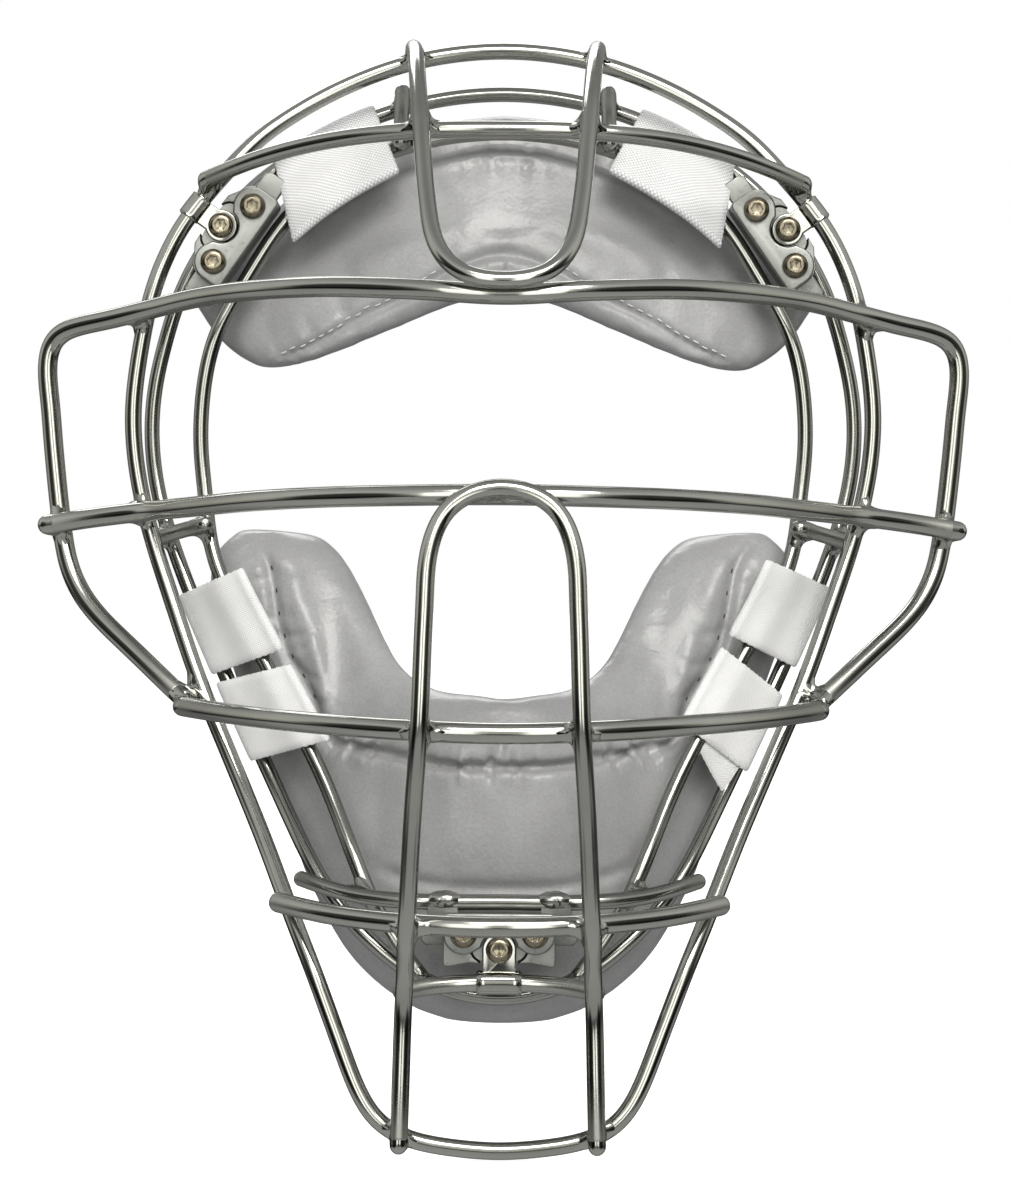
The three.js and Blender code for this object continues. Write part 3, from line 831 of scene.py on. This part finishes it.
def make_sleeve(name, place):
    """Sheet wrapped round the tab's bar, with a thin lip at each end."""
    line, radius, _ = wires[SLEEVE_ON[name]]
    seat = place @ Vector((0, 1.4 * MM, TAB["reach"] * MM))
    at = int(np.argmin(np.linalg.norm(line - np.array(seat), axis=1)))
    around = 12
    part = line[max(0, at - around) : at + around + 1]
    middle = lengths_along(part)[min(at, around)]
    half, count = SLEEVE_WIDTH[name] / 2 * MM, 17
    covered = points_along(part, middle + np.linspace(-half, half, count))
    outer = radius + 0.85 * MM
    sizes = np.full(count, outer)
    sizes[:2] = sizes[-2:] = outer + (0.28 if name == "chin" else 0.1) * MM
    sizes[0] = sizes[-1] = outer - 0.2 * MM
    sleeve = tube_piece(f"{name}_sleeve", covered, outer, [CHROME], sides=32, blunt=0.12, radii=sizes)
    finish_piece(sleeve, CAGE, "plate")


def make_modules():
    for name, turn in MODULES.items():
        low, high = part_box(f"{name}_centre_screw")
        x, z = (low.x + high.x) / 2, (low.z + high.z) / 2
        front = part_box(f"{name}_plate")[0].y
        place = Matrix.Translation((x, front, z)) @ Matrix.Rotation(math.radians(turn), 4, "Y")
        make_plate(name, place)
        make_screws(name, place)
        make_tab(name, place)
        make_housing(name, place)
        if name == "chin":
            make_chin_brackets(place)
        make_spring(f"{name}_spring", place)
        paint(f"{name}_plunger", SATIN)


def make_housing(name, place):
    """The pressed cup behind a plate, with feet that hook over the base ring."""
    end_x, outer_z, inner_z, round_r = BLOCK["end_x"], BLOCK["outer_z"], PLATE["inner_z"], 1.5
    corner, drop, front = (1.2, 0, 1.5) if name == "chin" else (4.5, 3, BLOCK["front"])
    half = [(0, inner_z), (end_x - round_r, inner_z)]
    half += arc(end_x - round_r, inner_z + round_r, round_r, -90, 0, 6)[1:]
    half += arc(end_x - corner, outer_z - corner - drop, corner, 0, 78, 12)
    half += [(8, outer_z - 1.2), (CUP["mouth_x"], outer_z - 1)]
    far_half = mirrored(half[:0:-1])
    right_end = arc(CUP["slot_x"], 0, CUP["slot_r"], 60, -90, 12)
    left_end = arc(-CUP["slot_x"], 0, CUP["slot_r"], -90, -240, 12)
    key = arc(0, 0, CUP["key_r"], -50, -130, 10)  # where the tab's round end slides
    bore = arc(0, 0, CUP["bore_r"], 360, 0, 25)[:-1]
    layers = (
        ("cup_rim", [half + right_end + key + left_end + far_half], front, 8.0, 0.3),
        ("cup_slot", [half + right_end + left_end + far_half], 7.9, 9.7, 0.1),
        ("cup", [half + far_half, bore], 9.6, 13.2, 0.1),
        ("cup_floor", [half + far_half], 13.1, BLOCK["back"], 0.6),
    )
    for word, loops, low, high, bevel in layers:
        layer = sheet_metal(f"{name}_{word}", loops, low, high, bevel, place, SATIN)
        finish_piece(layer, BASE, "plate", *([f"{name}_housing"] if word == "cup_rim" else []))
    outline = [(end_x + x, z) for x, z in FOOT]
    back = BLOCK["back"]
    for loop, word in ((mirrored(outline[::-1]), "a"), (outline, "b")):
        foot = sheet_metal(f"{name}_foot_{word}", [loop], back - 2, back, 0.4, place, SATIN)
        finish_piece(foot, BASE, "plate")


def make_chin_brackets(place):
    """Two short straps that join the chin module's cup to the cross bar, with their welds."""
    line = wires["base_chin_bar"][0]
    sphere, faces = unit_sphere(3)
    for side, word, loop in ((-1, "a", mirrored(BRACKET[::-1])), (1, "b", BRACKET)):
        bracket = sheet_metal(f"chin_bracket_{word}", [loop], 4.2, 5.6, 0.3, place, SATIN)
        finish_piece(bracket, BASE, "plate")
        at = line[int(np.argmin(np.abs(line[:, 0] + side * 14.6 * MM)))]
        size = np.array((4.8, 2.75, 2.45)) * MM
        lump = at + sphere * size * (1 + 0.04 * np.sin(sphere @ np.array((9, 5, 7)))[:, None])
        lump += np.array((0, -0.3, 0.7)) * MM
        weld = new_object(f"chin_weld_{word}", lump, faces, [BASE_CHROME])
        finish_piece(weld, BASE, "base_wire")


def paint(node, material):
    """Gives a CAD node that stays its finished material."""
    mesh = frame["nodes"][node].data
    for k in range(len(mesh.materials)):
        mesh.materials[k] = material


# ---------- pads ----------
SWELL_CAP = 4.0 * MM


def loft(name, sections, materials):
    """A closed form through sections of equal length, its ends filled."""
    points = [point for section in sections for point in section]
    return closed_rings(name, points, len(sections[0]), materials, None)


def evaluated_copy(piece):
    """Replaces a piece's mesh with what its modifiers make of it."""
    bpy.context.view_layer.update()
    mesh = bpy.data.meshes.new_from_object(piece.evaluated_get(bpy.context.evaluated_depsgraph_get()))
    piece.modifiers.clear()
    piece.data = mesh


def coordinates(piece):
    return read_vectors(piece.data.vertices, "co")


def set_coordinates(piece, points):
    piece.data.vertices.foreach_set("co", points.astype(np.float32).ravel())
    piece.data.update()


def on_front(piece, line, back=False):
    """The x, z points of line in millimetres, smoothed and laid on the piece's front or back face."""
    tree = BVHTree.FromObject(piece, bpy.context.evaluated_depsgraph_get())
    start, way = (0.3, -1) if back else (-0.4, 1)
    found = []
    for x, _, z in cubic_through([(x * MM, 0, z * MM) for x, z in line], 1.0 * MM):
        hit = tree.ray_cast(Vector((x, start, z)), Vector((0, way, 0)))[0]
        if hit is not None:
            found.append(tuple(hit))
    return np.array(found)


def nearest_on_line(points, line):
    """How far each point is from line, and the number of the line's point nearest to it."""
    tree = KDTree(len(line))
    for k, p in enumerate(line):
        tree.insert(p, k)
    tree.balance()
    found = [tree.find(p) for p in points]
    return np.array([f[2] for f in found]), np.array([f[1] for f in found])


def puffed(piece, seams, voxel):
    """Evens the mesh out, then lets cloth swell between its sewn seams, no point moving past a cap."""
    voxel *= MM
    even = piece.modifiers.new("even", "REMESH")
    even.mode = "VOXEL"
    even.voxel_size = voxel
    even.use_smooth_shade = True
    evaluated_copy(piece)
    before = coordinates(piece)
    held = piece.vertex_groups.new(name="held")
    for seam in seams:
        distance, _ = nearest_on_line(before, seam)
        for k in np.flatnonzero(distance < voxel * 1.1):
            held.add([int(k)], 1.0, "REPLACE")
    cloth = piece.modifiers.new("cloth", "CLOTH")
    settings = cloth.settings
    settings.use_pressure = True
    settings.uniform_pressure_force = 4.0
    settings.effector_weights.gravity = 0
    settings.vertex_group_mass = held.name
    settings.tension_stiffness = 12
    settings.compression_stiffness = 12
    settings.bending_stiffness = 0.4
    for number in range(1, 21):
        bpy.context.scene.frame_set(number)
    bpy.context.view_layer.update()
    swollen = piece.evaluated_get(bpy.context.evaluated_depsgraph_get()).to_mesh()
    moved = read_vectors(swollen.vertices, "co") - before
    size = np.linalg.norm(moved, axis=1)[:, None]
    moved *= np.minimum(1, SWELL_CAP / np.maximum(size, 1e-9))
    piece.modifiers.clear()
    piece.vertex_groups.clear()
    bpy.context.scene.frame_set(1)
    set_coordinates(piece, before + moved)


def smoothed(piece):
    relax = piece.modifiers.new("relax", "SMOOTH")
    relax.factor = 0.5
    relax.iterations = 3
    finer = piece.modifiers.new("finer", "SUBSURF")
    finer.levels = 2
    finer.render_levels = 2
    evaluated_copy(piece)


def pressed(piece, line, depth, width, pucker=0.0, rate=1.0):
    """Pushes a groove (a ridge if depth is negative) into the surface along line, in millimetres.

    Small folds stand pucker high on both sides of it, closer together as rate grows.
    """
    points, normals = coordinates(piece), read_vectors(piece.data.vertex_normals, "vector")
    distance, index = nearest_on_line(points, line)
    distance /= width * MM
    near = np.exp(-(distance**2))
    fade = np.clip(np.minimum(index, len(line) - 1 - index) / 8.0, 0, 1)
    amount = depth * near * (0.35 + 0.65 * fade)
    if pucker:
        at = index * rate
        wave = np.sin(at * 0.61) + 0.9 * np.sin(at * 0.23 + 1.3) + 0.5 * np.sin(at * 1.13 + 0.4)
        wave *= 0.5 + 0.5 * np.sin(at * 0.087 + 0.8)
        amount += pucker * wave * np.exp(-((distance / 3.2) ** 2)) * (1 - near)
    set_coordinates(piece, points - normals * amount[:, None] * MM)


def creased(piece, creases):
    """Folds drawn into a cover, each with its line, depth and width."""
    for line, depth, width in creases:
        pressed(piece, on_front(piece, line), depth, width)


def stitches(name, piece, line, aside, pitch, length, radius, material):
    """Threads lying on the surface in a row aside from line; sizes in millimetres."""
    aside, pitch, length, radius = (size * MM for size in (aside, pitch, length, radius))
    tree = BVHTree.FromObject(piece, bpy.context.evaluated_depsgraph_get())
    rings, sides = 7, 8
    points, faces = [], []
    for at in np.arange(pitch, lengths_along(line)[-1] - pitch, pitch):
        here, ahead = (Vector(point) for point in points_along(line, [at, at + 0.5 * MM]))
        tangent = (ahead - here).normalized()
        spot, normal, _, _ = tree.find_nearest(here)
        side = tangent.cross(normal).normalized()
        spot, normal, _, _ = tree.find_nearest(here + side * aside)
        centre = spot + normal * radius * 0.35
        side = tangent.cross(normal).normalized()
        start = len(points)
        for ring in range(rings):
            share = -1 + 2 * ring / (rings - 1)
            thick = radius * math.sqrt(max(1 - abs(share) ** 3, 0.02))
            middle = centre + tangent * (length / 2 * share) - normal * radius * 0.6 * share**4
            for k in range(sides):
                angle = 2 * math.pi * k / sides
                points.append(middle + side * thick * math.cos(angle) + normal * thick * math.sin(angle))
        caps = [range(sides), range((rings - 1) * sides, rings * sides)]
        faces += [tuple(start + k for k in face) for face in rows_of_quads(rings, sides) + caps]
    row = tidied(new_object(name, points, faces, [material]))
    finish_piece(row, BASE, "pad")


def two_faced(piece):
    """The lining's material on the side that faces the wearer, vinyl on the rest."""
    inward = read_vectors(piece.data.polygons, "normal")[:, 1] > 0.35
    piece.data.materials.clear()
    piece.data.materials.append(VINYL)
    piece.data.materials.append(LINING)
    piece.data.polygons.foreach_set("material_index", inward.astype(np.int32))
    piece.data.shade_smooth()


def lining_seams(pad, lines):
    """The sewn lines of the side that faces the wearer."""
    for line in [on_front(pad, line, back=True) for line in lines]:
        pressed(pad, line, 1.2, 2.0, 0.25)



def both_sides(half):
    """A line symmetric about x = 0 from its right half, which starts on x = 0."""
    return [(-x, z) for x, z in reversed(half)] + list(half[1:])


def looked_up(table, at, column=1):
    """A table's value at a number between those in its first column."""
    return float(np.interp(at, [row[0] for row in table], [row[column] for row in table]))


def section_ring(centre, across, through, profile):
    return [centre + across * a + through * b for a, b in profile]


def superellipse(count, power):
    ring = []
    for k in range(count):
        angle = 2 * math.pi * k / count
        c, s = math.cos(angle), math.sin(angle)
        ring.append((math.copysign(abs(c) ** power, c), math.copysign(abs(s) ** power, s)))
    return ring


FOREHEAD = {"half_x": 88.5, "middle_y": -18, "bow": 12, "half_thick": 10.5, "lean": 0.4}
FOREHEAD_BOTTOM = [
    (0, 32.6), (12, 30), (20, 27), (32, 21.8), (43, 17.4), (52, 14), (60, 12), (66, 11.4), (71, 13.4),
    (77, 17.5), (83, 22.5), (88.5, 30)]
FOREHEAD_TOP = [
    (0, 84.5), (20, 82.5), (37, 76.8), (50, 69.8), (60, 62.6), (70, 53.5), (78, 46), (83, 43), (88.5, 37)]
FOREHEAD_CREASES = [
    # line, depth, width
    ([(-30, 58), (-44, 52), (-58, 43), (-66, 34)], 1.2, 5),
    ([(30, 58), (42, 53), (54, 43), (64, 31)], 1.1, 5),
    ([(-12, 49), (-30, 43), (-50, 34), (-66, 24)], -1.2, 5),
    ([(14, 50), (34, 44), (54, 33), (68, 22)], -1.1, 6),
    ([(-47, 46), (-44, 37), (-46, 29)], 0.8, 3.5),
    ([(40, 47), (45, 38), (44, 30)], 0.7, 3.5),
    ([(3, 68), (4, 58), (2, 48)], 0.7, 5),
    ([(-22, 64), (-16, 57), (-14, 50)], 0.5, 3.5),
    ([(60, 50), (70, 38), (76, 26)], 0.6, 3),
    ([(-62, 50), (-71, 39), (-76, 28)], 0.6, 3),
]


def forehead_y(x):
    """How far back the middle of the forehead cushion is at x."""
    return FOREHEAD["middle_y"] + FOREHEAD["bow"] * (x / FOREHEAD["half_x"]) ** 2


def thin_above(pad, fold, end, share):
    """Leaves a thinner backing above the fold line, so that the front cushion's upper edge is proud."""
    points = coordinates(pad)
    x, y, z = (points / MM).T
    right = fold[len(fold) // 2 :]
    edge = np.interp(np.abs(x), [p[0] for p in right], [p[1] for p in right])
    above = np.clip((z - edge) / 2.4, 0, 1)
    above *= above * (3 - 2 * above) * np.clip((end - np.abs(x)) / 6, 0, 1)
    middle = forehead_y(x)
    points[:, 1] += np.where(y < middle, (middle - y) * share * above, 0) * MM
    set_coordinates(pad, points)


def make_forehead_pad():
    half_x = FOREHEAD["half_x"]
    profile = superellipse(36, 0.72)
    sections = []
    for x in np.linspace(-half_x, half_x, 75):
        share = abs(x) / half_x
        end = math.sqrt(max(1 - max(0, (share - 0.86) / 0.14) ** 2, 0.12))
        top, bottom = looked_up(FOREHEAD_TOP, abs(x)), looked_up(FOREHEAD_BOTTOM, abs(x))
        centre = Vector((x, forehead_y(x), (top + bottom) / 2)) * MM
        across = Vector((0, FOREHEAD["lean"], 1)) * (top - bottom) / 2 * end * MM
        through = Vector((0, 1, 0)) * FOREHEAD["half_thick"] * (0.45 + 0.55 * end) * MM
        sections.append(section_ring(centre, across, through, profile))
    pad = loft("forehead_cushion", sections, [VINYL])
    gusset = both_sides([
        (0, 43.5), (10, 41), (20, 35.6), (27.5, 31), (38, 26.2), (47, 21), (56, 16.4), (63, 13.4)])
    top_fold = both_sides([(0, 73), (9, 72.2), (22, 68.6), (37, 62.8), (50, 55)])
    centre_seam = [(1.5, 43.6), (1.0, 39), (0.6, 34.5)]
    puffed(pad, [on_front(pad, gusset), on_front(pad, centre_seam)], 2.6)
    smoothed(pad)
    thin_above(pad, top_fold, 54, 0.62)
    gusset_line, centre_line = on_front(pad, gusset), on_front(pad, centre_seam)
    fold_line = on_front(pad, [(x, z - 1.5) for x, z in top_fold])
    pressed(pad, gusset_line, 1.5, 1.7, 0.35)
    pressed(pad, centre_line, 1.4, 1.3, 0.2)
    pressed(pad, fold_line, -0.7, 1.8, 0.35, 1.4)
    creased(pad, FOREHEAD_CREASES)
    rim_low = [(0, 44), (26, 36), (50, 24), (62, 21), (74, 29), (80, 37)]
    rim_high = [(0, 76), (26, 73), (52, 62), (72, 45), (80, 37)]
    lining_seams(pad, [both_sides(rim_low), both_sides(rim_high), [(0, 44.5), (0.1, 75.5)]])
    two_faced(pad)
    finish_piece(pad, BASE, "pad", "forehead_pad")
    left_end, right_start = len(gusset_line) // 2 - 14, len(gusset_line) // 2 + 14
    for side, line in (("left", gusset_line[:left_end]), ("right", gusset_line[right_start:])):
        stitches(f"forehead_stitches_{side}", pad, line, -1.4, 3.0, 2.0, 0.24, WHITE_THREAD)


CHIN_INNER = [
    (0, -76.4), (12, -76.2), (20, -75.2), (26, -71), (32.5, -61), (38.5, -49.5), (44.5, -40), (49, -34.5)]
CHIN_OUTER = [
    (0, -166.5), (16, -165), (29, -159), (40, -149.5), (49.5, -134), (58, -115), (66, -94), (74, -72),
    (80.5, -52), (80.5, -40), (74.5, -32.5)]
CHIN_DEPTH = [
    # share along, middle y, half thickness
    (0.0, -60.5, 16.0), (0.14, -59, 15.5), (0.3, -51.5, 14.2), (0.45, -42, 13.4), (0.6, -34.5, 13.8),
    (0.8, -28, 13.8), (1.0, -22, 12.5)]
CHIN_GATHER = [(0, -96.3), (18, -95.6), (33, -93), (46.5, -90.5)]
CHEEK_EDGE = [
    (46.5, -90.5), (50.5, -81), (55, -73), (59, -65.5), (61.5, -57), (63, -48), (65.5, -40), (69, -36)]
CHIN_CREASES = [
    # line, depth, width
    ([(-53, -56), (-50.5, -66), (-48, -76), (-46, -86)], -1.7, 2.6),
    ([(-60, -40), (-57, -48), (-55, -56), (-54, -62)], -1.3, 3.0),
    ([(-50, -44), (-46, -56), (-43, -68), (-42, -80)], 1.6, 5),
    ([(-60.5, -62), (-56, -62.5), (-52, -61)], 1.1, 1.5),
    ([(-58, -67), (-54, -68), (-51.5, -66)], -0.9, 1.6),
    ([(-55.5, -71), (-52, -73.5), (-49.5, -74)], 1.0, 1.5),
    ([(-52, -78), (-49, -80.5), (-46, -80)], 0.9, 1.6),
    ([(53, -60), (49.5, -71), (46, -83)], -1.6, 2.8),
    ([(60, -42), (57, -51), (55, -59)], -1.2, 3),
    ([(48, -44), (43, -58), (38, -72)], 1.5, 5),
    ([(60.5, -60), (56, -61), (52.5, -59)], 1.0, 1.5),
    ([(57, -68), (53, -69.5), (50, -68.5)], 1.1, 1.6),
    ([(53, -76), (50, -78.5), (47, -78)], 0.9, 1.6),
    ([(-26, -76), (-33, -84), (-40, -90)], 0.6, 3),
    ([(26, -78), (32, -85), (38, -90)], 0.6, 3),
    ([(-10, -98), (-13, -108), (-13, -118)], -0.5, 4),
    ([(15, -99), (19, -110), (20, -122)], -1.1, 3.6),
    ([(-30, -97), (-33, -108), (-31, -120)], 0.6, 4),
    ([(33, -96), (37, -106), (37, -116)], 0.6, 4),
]


def make_chin_pad():
    edges = [[(x * MM, 0, z * MM) for x, z in edge] for edge in (CHIN_INNER, CHIN_OUTER)]
    inner, outer = (cubic_through(edge, 0.5 * MM) for edge in edges)
    profile = superellipse(40, 0.74)
    half_sections = []
    steps = 40
    for k in range(steps + 1):
        share = k / steps
        a = inner[int(round(share * (len(inner) - 1)))]
        b = outer[int(round(share * (len(outer) - 1)))]
        end = math.sqrt(max(1 - max(0, (share - 0.9) / 0.1) ** 2, 0.2))
        centre = Vector((a + b) / 2) + Vector((0, looked_up(CHIN_DEPTH, share) * MM, 0))
        across = Vector((b - a) / 2) * (0.72 + 0.28 * end)
        across.y = 5 * MM * (1 - share)
        through = Vector((0, 1, 0)) * looked_up(CHIN_DEPTH, share, 2) * (0.5 + 0.5 * end) * MM
        half_sections.append(section_ring(centre, across, through, profile))
    left = [[Vector((-p.x, p.y, p.z)) for p in section] for section in reversed(half_sections[1:])]
    pad = loft("chin_cushion", left + half_sections, [VINYL])
    panel = both_sides(CHIN_GATHER + CHEEK_EDGE[1:])
    lip_seam = [(0.5, -81.5), (0.3, -88), (0, -95)]
    hem = both_sides([(0, -128.5), (20, -127.5), (36, -123)])
    puffed(pad, [on_front(pad, panel), on_front(pad, lip_seam)], 2.8)
    smoothed(pad)
    panel_line, lip_line, hem_line = on_front(pad, panel), on_front(pad, lip_seam), on_front(pad, hem)
    pressed(pad, panel_line, 1.7, 1.7, 0.5)
    pressed(pad, on_front(pad, both_sides(CHIN_GATHER)), 1.7, 1.1, 0.9, 1.9)
    pressed(pad, lip_line, 1.5, 1.3, 0.3)
    pressed(pad, hem_line, 1.2, 2.0, 0.3)
    creased(pad, CHIN_CREASES)
    rim_in = [(0, -88), (20, -86), (33, -76), (42, -60), (50, -48), (58, -42)]
    rim_out = [(0, -152), (22, -148), (38, -134), (50, -110), (62, -80), (69, -56), (66, -44), (58, -42)]
    lining_seams(pad, [both_sides(rim_in), both_sides(rim_out), [(0, -89), (0.1, -151)]])
    two_faced(pad)
    finish_piece(pad, BASE, "pad", "chin_pad")
    for side, line, aside in (("right", CHEEK_EDGE, -1.3), ("left", mirrored(CHEEK_EDGE), 1.3)):
        edge = on_front(pad, line)
        stitches(f"cheek_stitches_{side}", pad, edge, aside, 6.5, 1.5, 0.22, BLACK_THREAD)


# ---------- straps ----------
STRAP_THICK = 1.2
TAIL_THICK = 1.08
STRAP_HUG = 2.9  # from a wire's centre to the middle of the webbing round it
# Where the two edges of each strap cross the base ring and the inner ring (x, z), and how far it runs
# on over the pad.
STRAPS = {
    "brow_strap_right": ([(63.3, 0), (37.5, 0)], [(60.5, 0), (32.2, 0)], 7.2),
    "brow_strap_left": ([(-63, 0), (-36.5, 0)], [(-60, 0), (-31.6, 0)], 7.6),
    "cheek_strap_upper_right": ([(0, -47.8), (0, -68.2)], [(0, -43), (0, -64)], 7.4),
    "cheek_strap_upper_left": ([(0, -50.6), (0, -71.6)], [(0, -46.4), (0, -68)], 7.6),
    "cheek_strap_lower_right": ([(0, -75.6), (0, -95.6)], [(0, -69), (0, -88.6)], 7.2),
    "cheek_strap_lower_left": ([(0, -75), (0, -94.6)], [(0, -72), (0, -91.4)], 7.4),
}


def stretch(wire, marks, side, count):
    """Evenly spaced points of a wire between two marks, each given by its x or its z in millimetres."""
    line = wires[wire][0]
    ends = []
    for x, z in marks:
        if x:
            off = np.abs(line[:, 0] - x * MM) + (line[:, 2] < 0)
        else:
            off = np.abs(line[:, 2] - z * MM) + (line[:, 0] * side < 0)
        ends.append(int(np.argmin(off)))
    low, high = sorted(ends)
    if high - low < len(line) / 2:
        part = line[low : high + 1]
    else:
        part = np.vstack([line[high:], line[: low + 1]])
    if part[0][2] < part[-1][2]:
        part = part[::-1]
    return points_along(part, np.linspace(0, lengths_along(part)[-1], count))


def webbing_piece(name, rows, thick, material):
    """A band through rows of points, one row for each line along it from edge to edge."""
    grid = np.array(rows)
    along = np.gradient(grid, axis=1)
    over = np.gradient(grid, axis=0)
    normal = np.cross(along, over)
    normal /= np.linalg.norm(normal, axis=2)[:, :, None]
    over /= np.linalg.norm(over, axis=2)[:, :, None]
    wide, long = grid.shape[:2]
    width = np.linalg.norm(grid[-1] - grid[0], axis=1).mean()
    run = lengths_along(grid[wide // 2])
    deep, bulge = thick / 2 * MM, 0.35 * thick * MM
    depths = [(j, deep * (0.8 if j in (0, wide - 1) else 1)) for j in range(wide)]
    points, uvs = [], []
    for i in range(long):
        fray = 0.14 * MM * math.sin(run[i] / (0.35 * MM))
        ring = [(0, fray - bulge, 0.0)] + [(j, 0.0, depth) for j, depth in depths]
        ring += [(wide - 1, fray + bulge, 0.0)] + [(j, 0.0, -depth) for j, depth in reversed(depths)]
        for j, out, lift in ring:
            points.append(grid[j, i] + over[j, i] * out + normal[j, i] * lift)
            uvs.append((width * j / (wide - 1), run[i]))
    sides = 2 * wide + 2
    faces = rows_of_quads(long, sides)
    faces += [tuple(range(sides)), tuple(range((long - 1) * sides, long * sides))]
    return tidied(new_object(name, points, faces, [material], uvs), 55)


def strap_line(outer, inner, reach, front):
    """The webbing in one plane: round the base ring, over the inner ring and folded back past it."""
    outer, inner = Vector(outer), Vector(inner)
    across = inner - outer
    span = across.length
    across.normalize()
    up = (Vector((0, -1, 0)) - across * -across.y).normalized()
    hug = STRAP_HUG * MM

    def past(distance, lift):
        """A point beyond the inner ring, where the two layers come together on the pad."""
        share = distance / reach
        ease = share * share * (3 - 2 * share)
        height = hug + (0.75 * MM - hug) * ease
        point = inner + across * distance + up * lift * height
        if share > 0.35:
            point.y = min(point.y, front(point.x, point.z) - (1.1 + 0.75 * lift) * MM * ease)
        return point

    line = [outer + across * span * share - up * hug for share in np.linspace(0.5, 0, 8)]
    for angle in np.linspace(0, math.pi, 18)[1:-1]:
        line.append(outer - across * hug * math.sin(angle) - up * hug * math.cos(angle))
    for share in np.linspace(0, 1, 20):
        sag = 0.5 * MM * math.sin(math.pi * share) ** 2
        line.append(outer + across * span * share + up * (hug - sag))
    line += [past(distance, 1) for distance in np.linspace(0, reach, 12)[1:]]
    top, below = past(reach, 1), past(reach, -1)
    end, rise = (top + below) / 2, (top - below) / 2
    line += [end + rise * math.cos(a) + across * rise.length * math.sin(a) for a in (0.8, 1.57, 2.3)]
    line += [past(distance, -1) for distance in np.linspace(reach, 0, 10)]
    line += [outer + across * span * share - up * (hug + 0.02 * MM) for share in np.linspace(0.96, 0.54, 6)]
    return line


def make_tail(rows):
    """The loose end of the lower right strap, which shows below it as a slanting under layer."""
    under = np.array(rows)[::-1][:9, 26:44]
    slant = np.linspace(9.5, 3.5, under.shape[1]) * MM
    fade = np.linspace(1, 0, under.shape[0])
    down = under[0] - under[-1]
    down /= np.linalg.norm(down, axis=1)[:, None]
    moved = under + down[None] * (slant[None, :, None] * fade[:, None, None])
    moved[:, :, 1] += 1.5 * MM
    tail = webbing_piece("cheek_strap_lower_right_tail", moved, TAIL_THICK, WEB_PLAIN)
    finish_piece(tail, BASE, "strap")


def make_straps():
    count = 15
    for name, (outer_marks, inner_marks, reach) in STRAPS.items():
        side = 1 if name.endswith("right") else -1
        brow = name.startswith("brow")
        pad = bpy.data.objects["forehead_cushion" if brow else "chin_cushion"]
        tree = BVHTree.FromObject(pad, bpy.context.evaluated_depsgraph_get())

        def front(x, z):
            spot = tree.ray_cast(Vector((x, -0.4, z)), Vector((0, 1, 0)))[0]
            return spot.y if spot else 0.0

        outer = stretch("base_ring", outer_marks, side, count)
        inner = stretch("base_inner_ring", inner_marks, side, count)
        directions = (inner - outer) / np.linalg.norm(inner - outer, axis=1)[:, None]
        tips = inner[[0, -1]] + directions[[0, -1]] * reach * MM
        straight = tips[0] + (tips[1] - tips[0]) * np.linspace(0, 1, count)[:, None]
        reaches = np.einsum("ij,ij->i", straight - inner, directions)
        rows = [strap_line(o, i, r, front) for o, i, r in zip(outer, inner, reaches)]
        loop = webbing_piece(f"{name}_loop", rows, STRAP_THICK, WEB_DOTTED if brow else WEB_PLAIN)
        finish_piece(loop, BASE, "strap", name)
        if name == "cheek_strap_lower_right":
            make_tail(rows)


make_camera()
make_studio()
make_wires()
make_welds()
make_modules()
make_forehead_pad()
make_chin_pad()
make_straps()
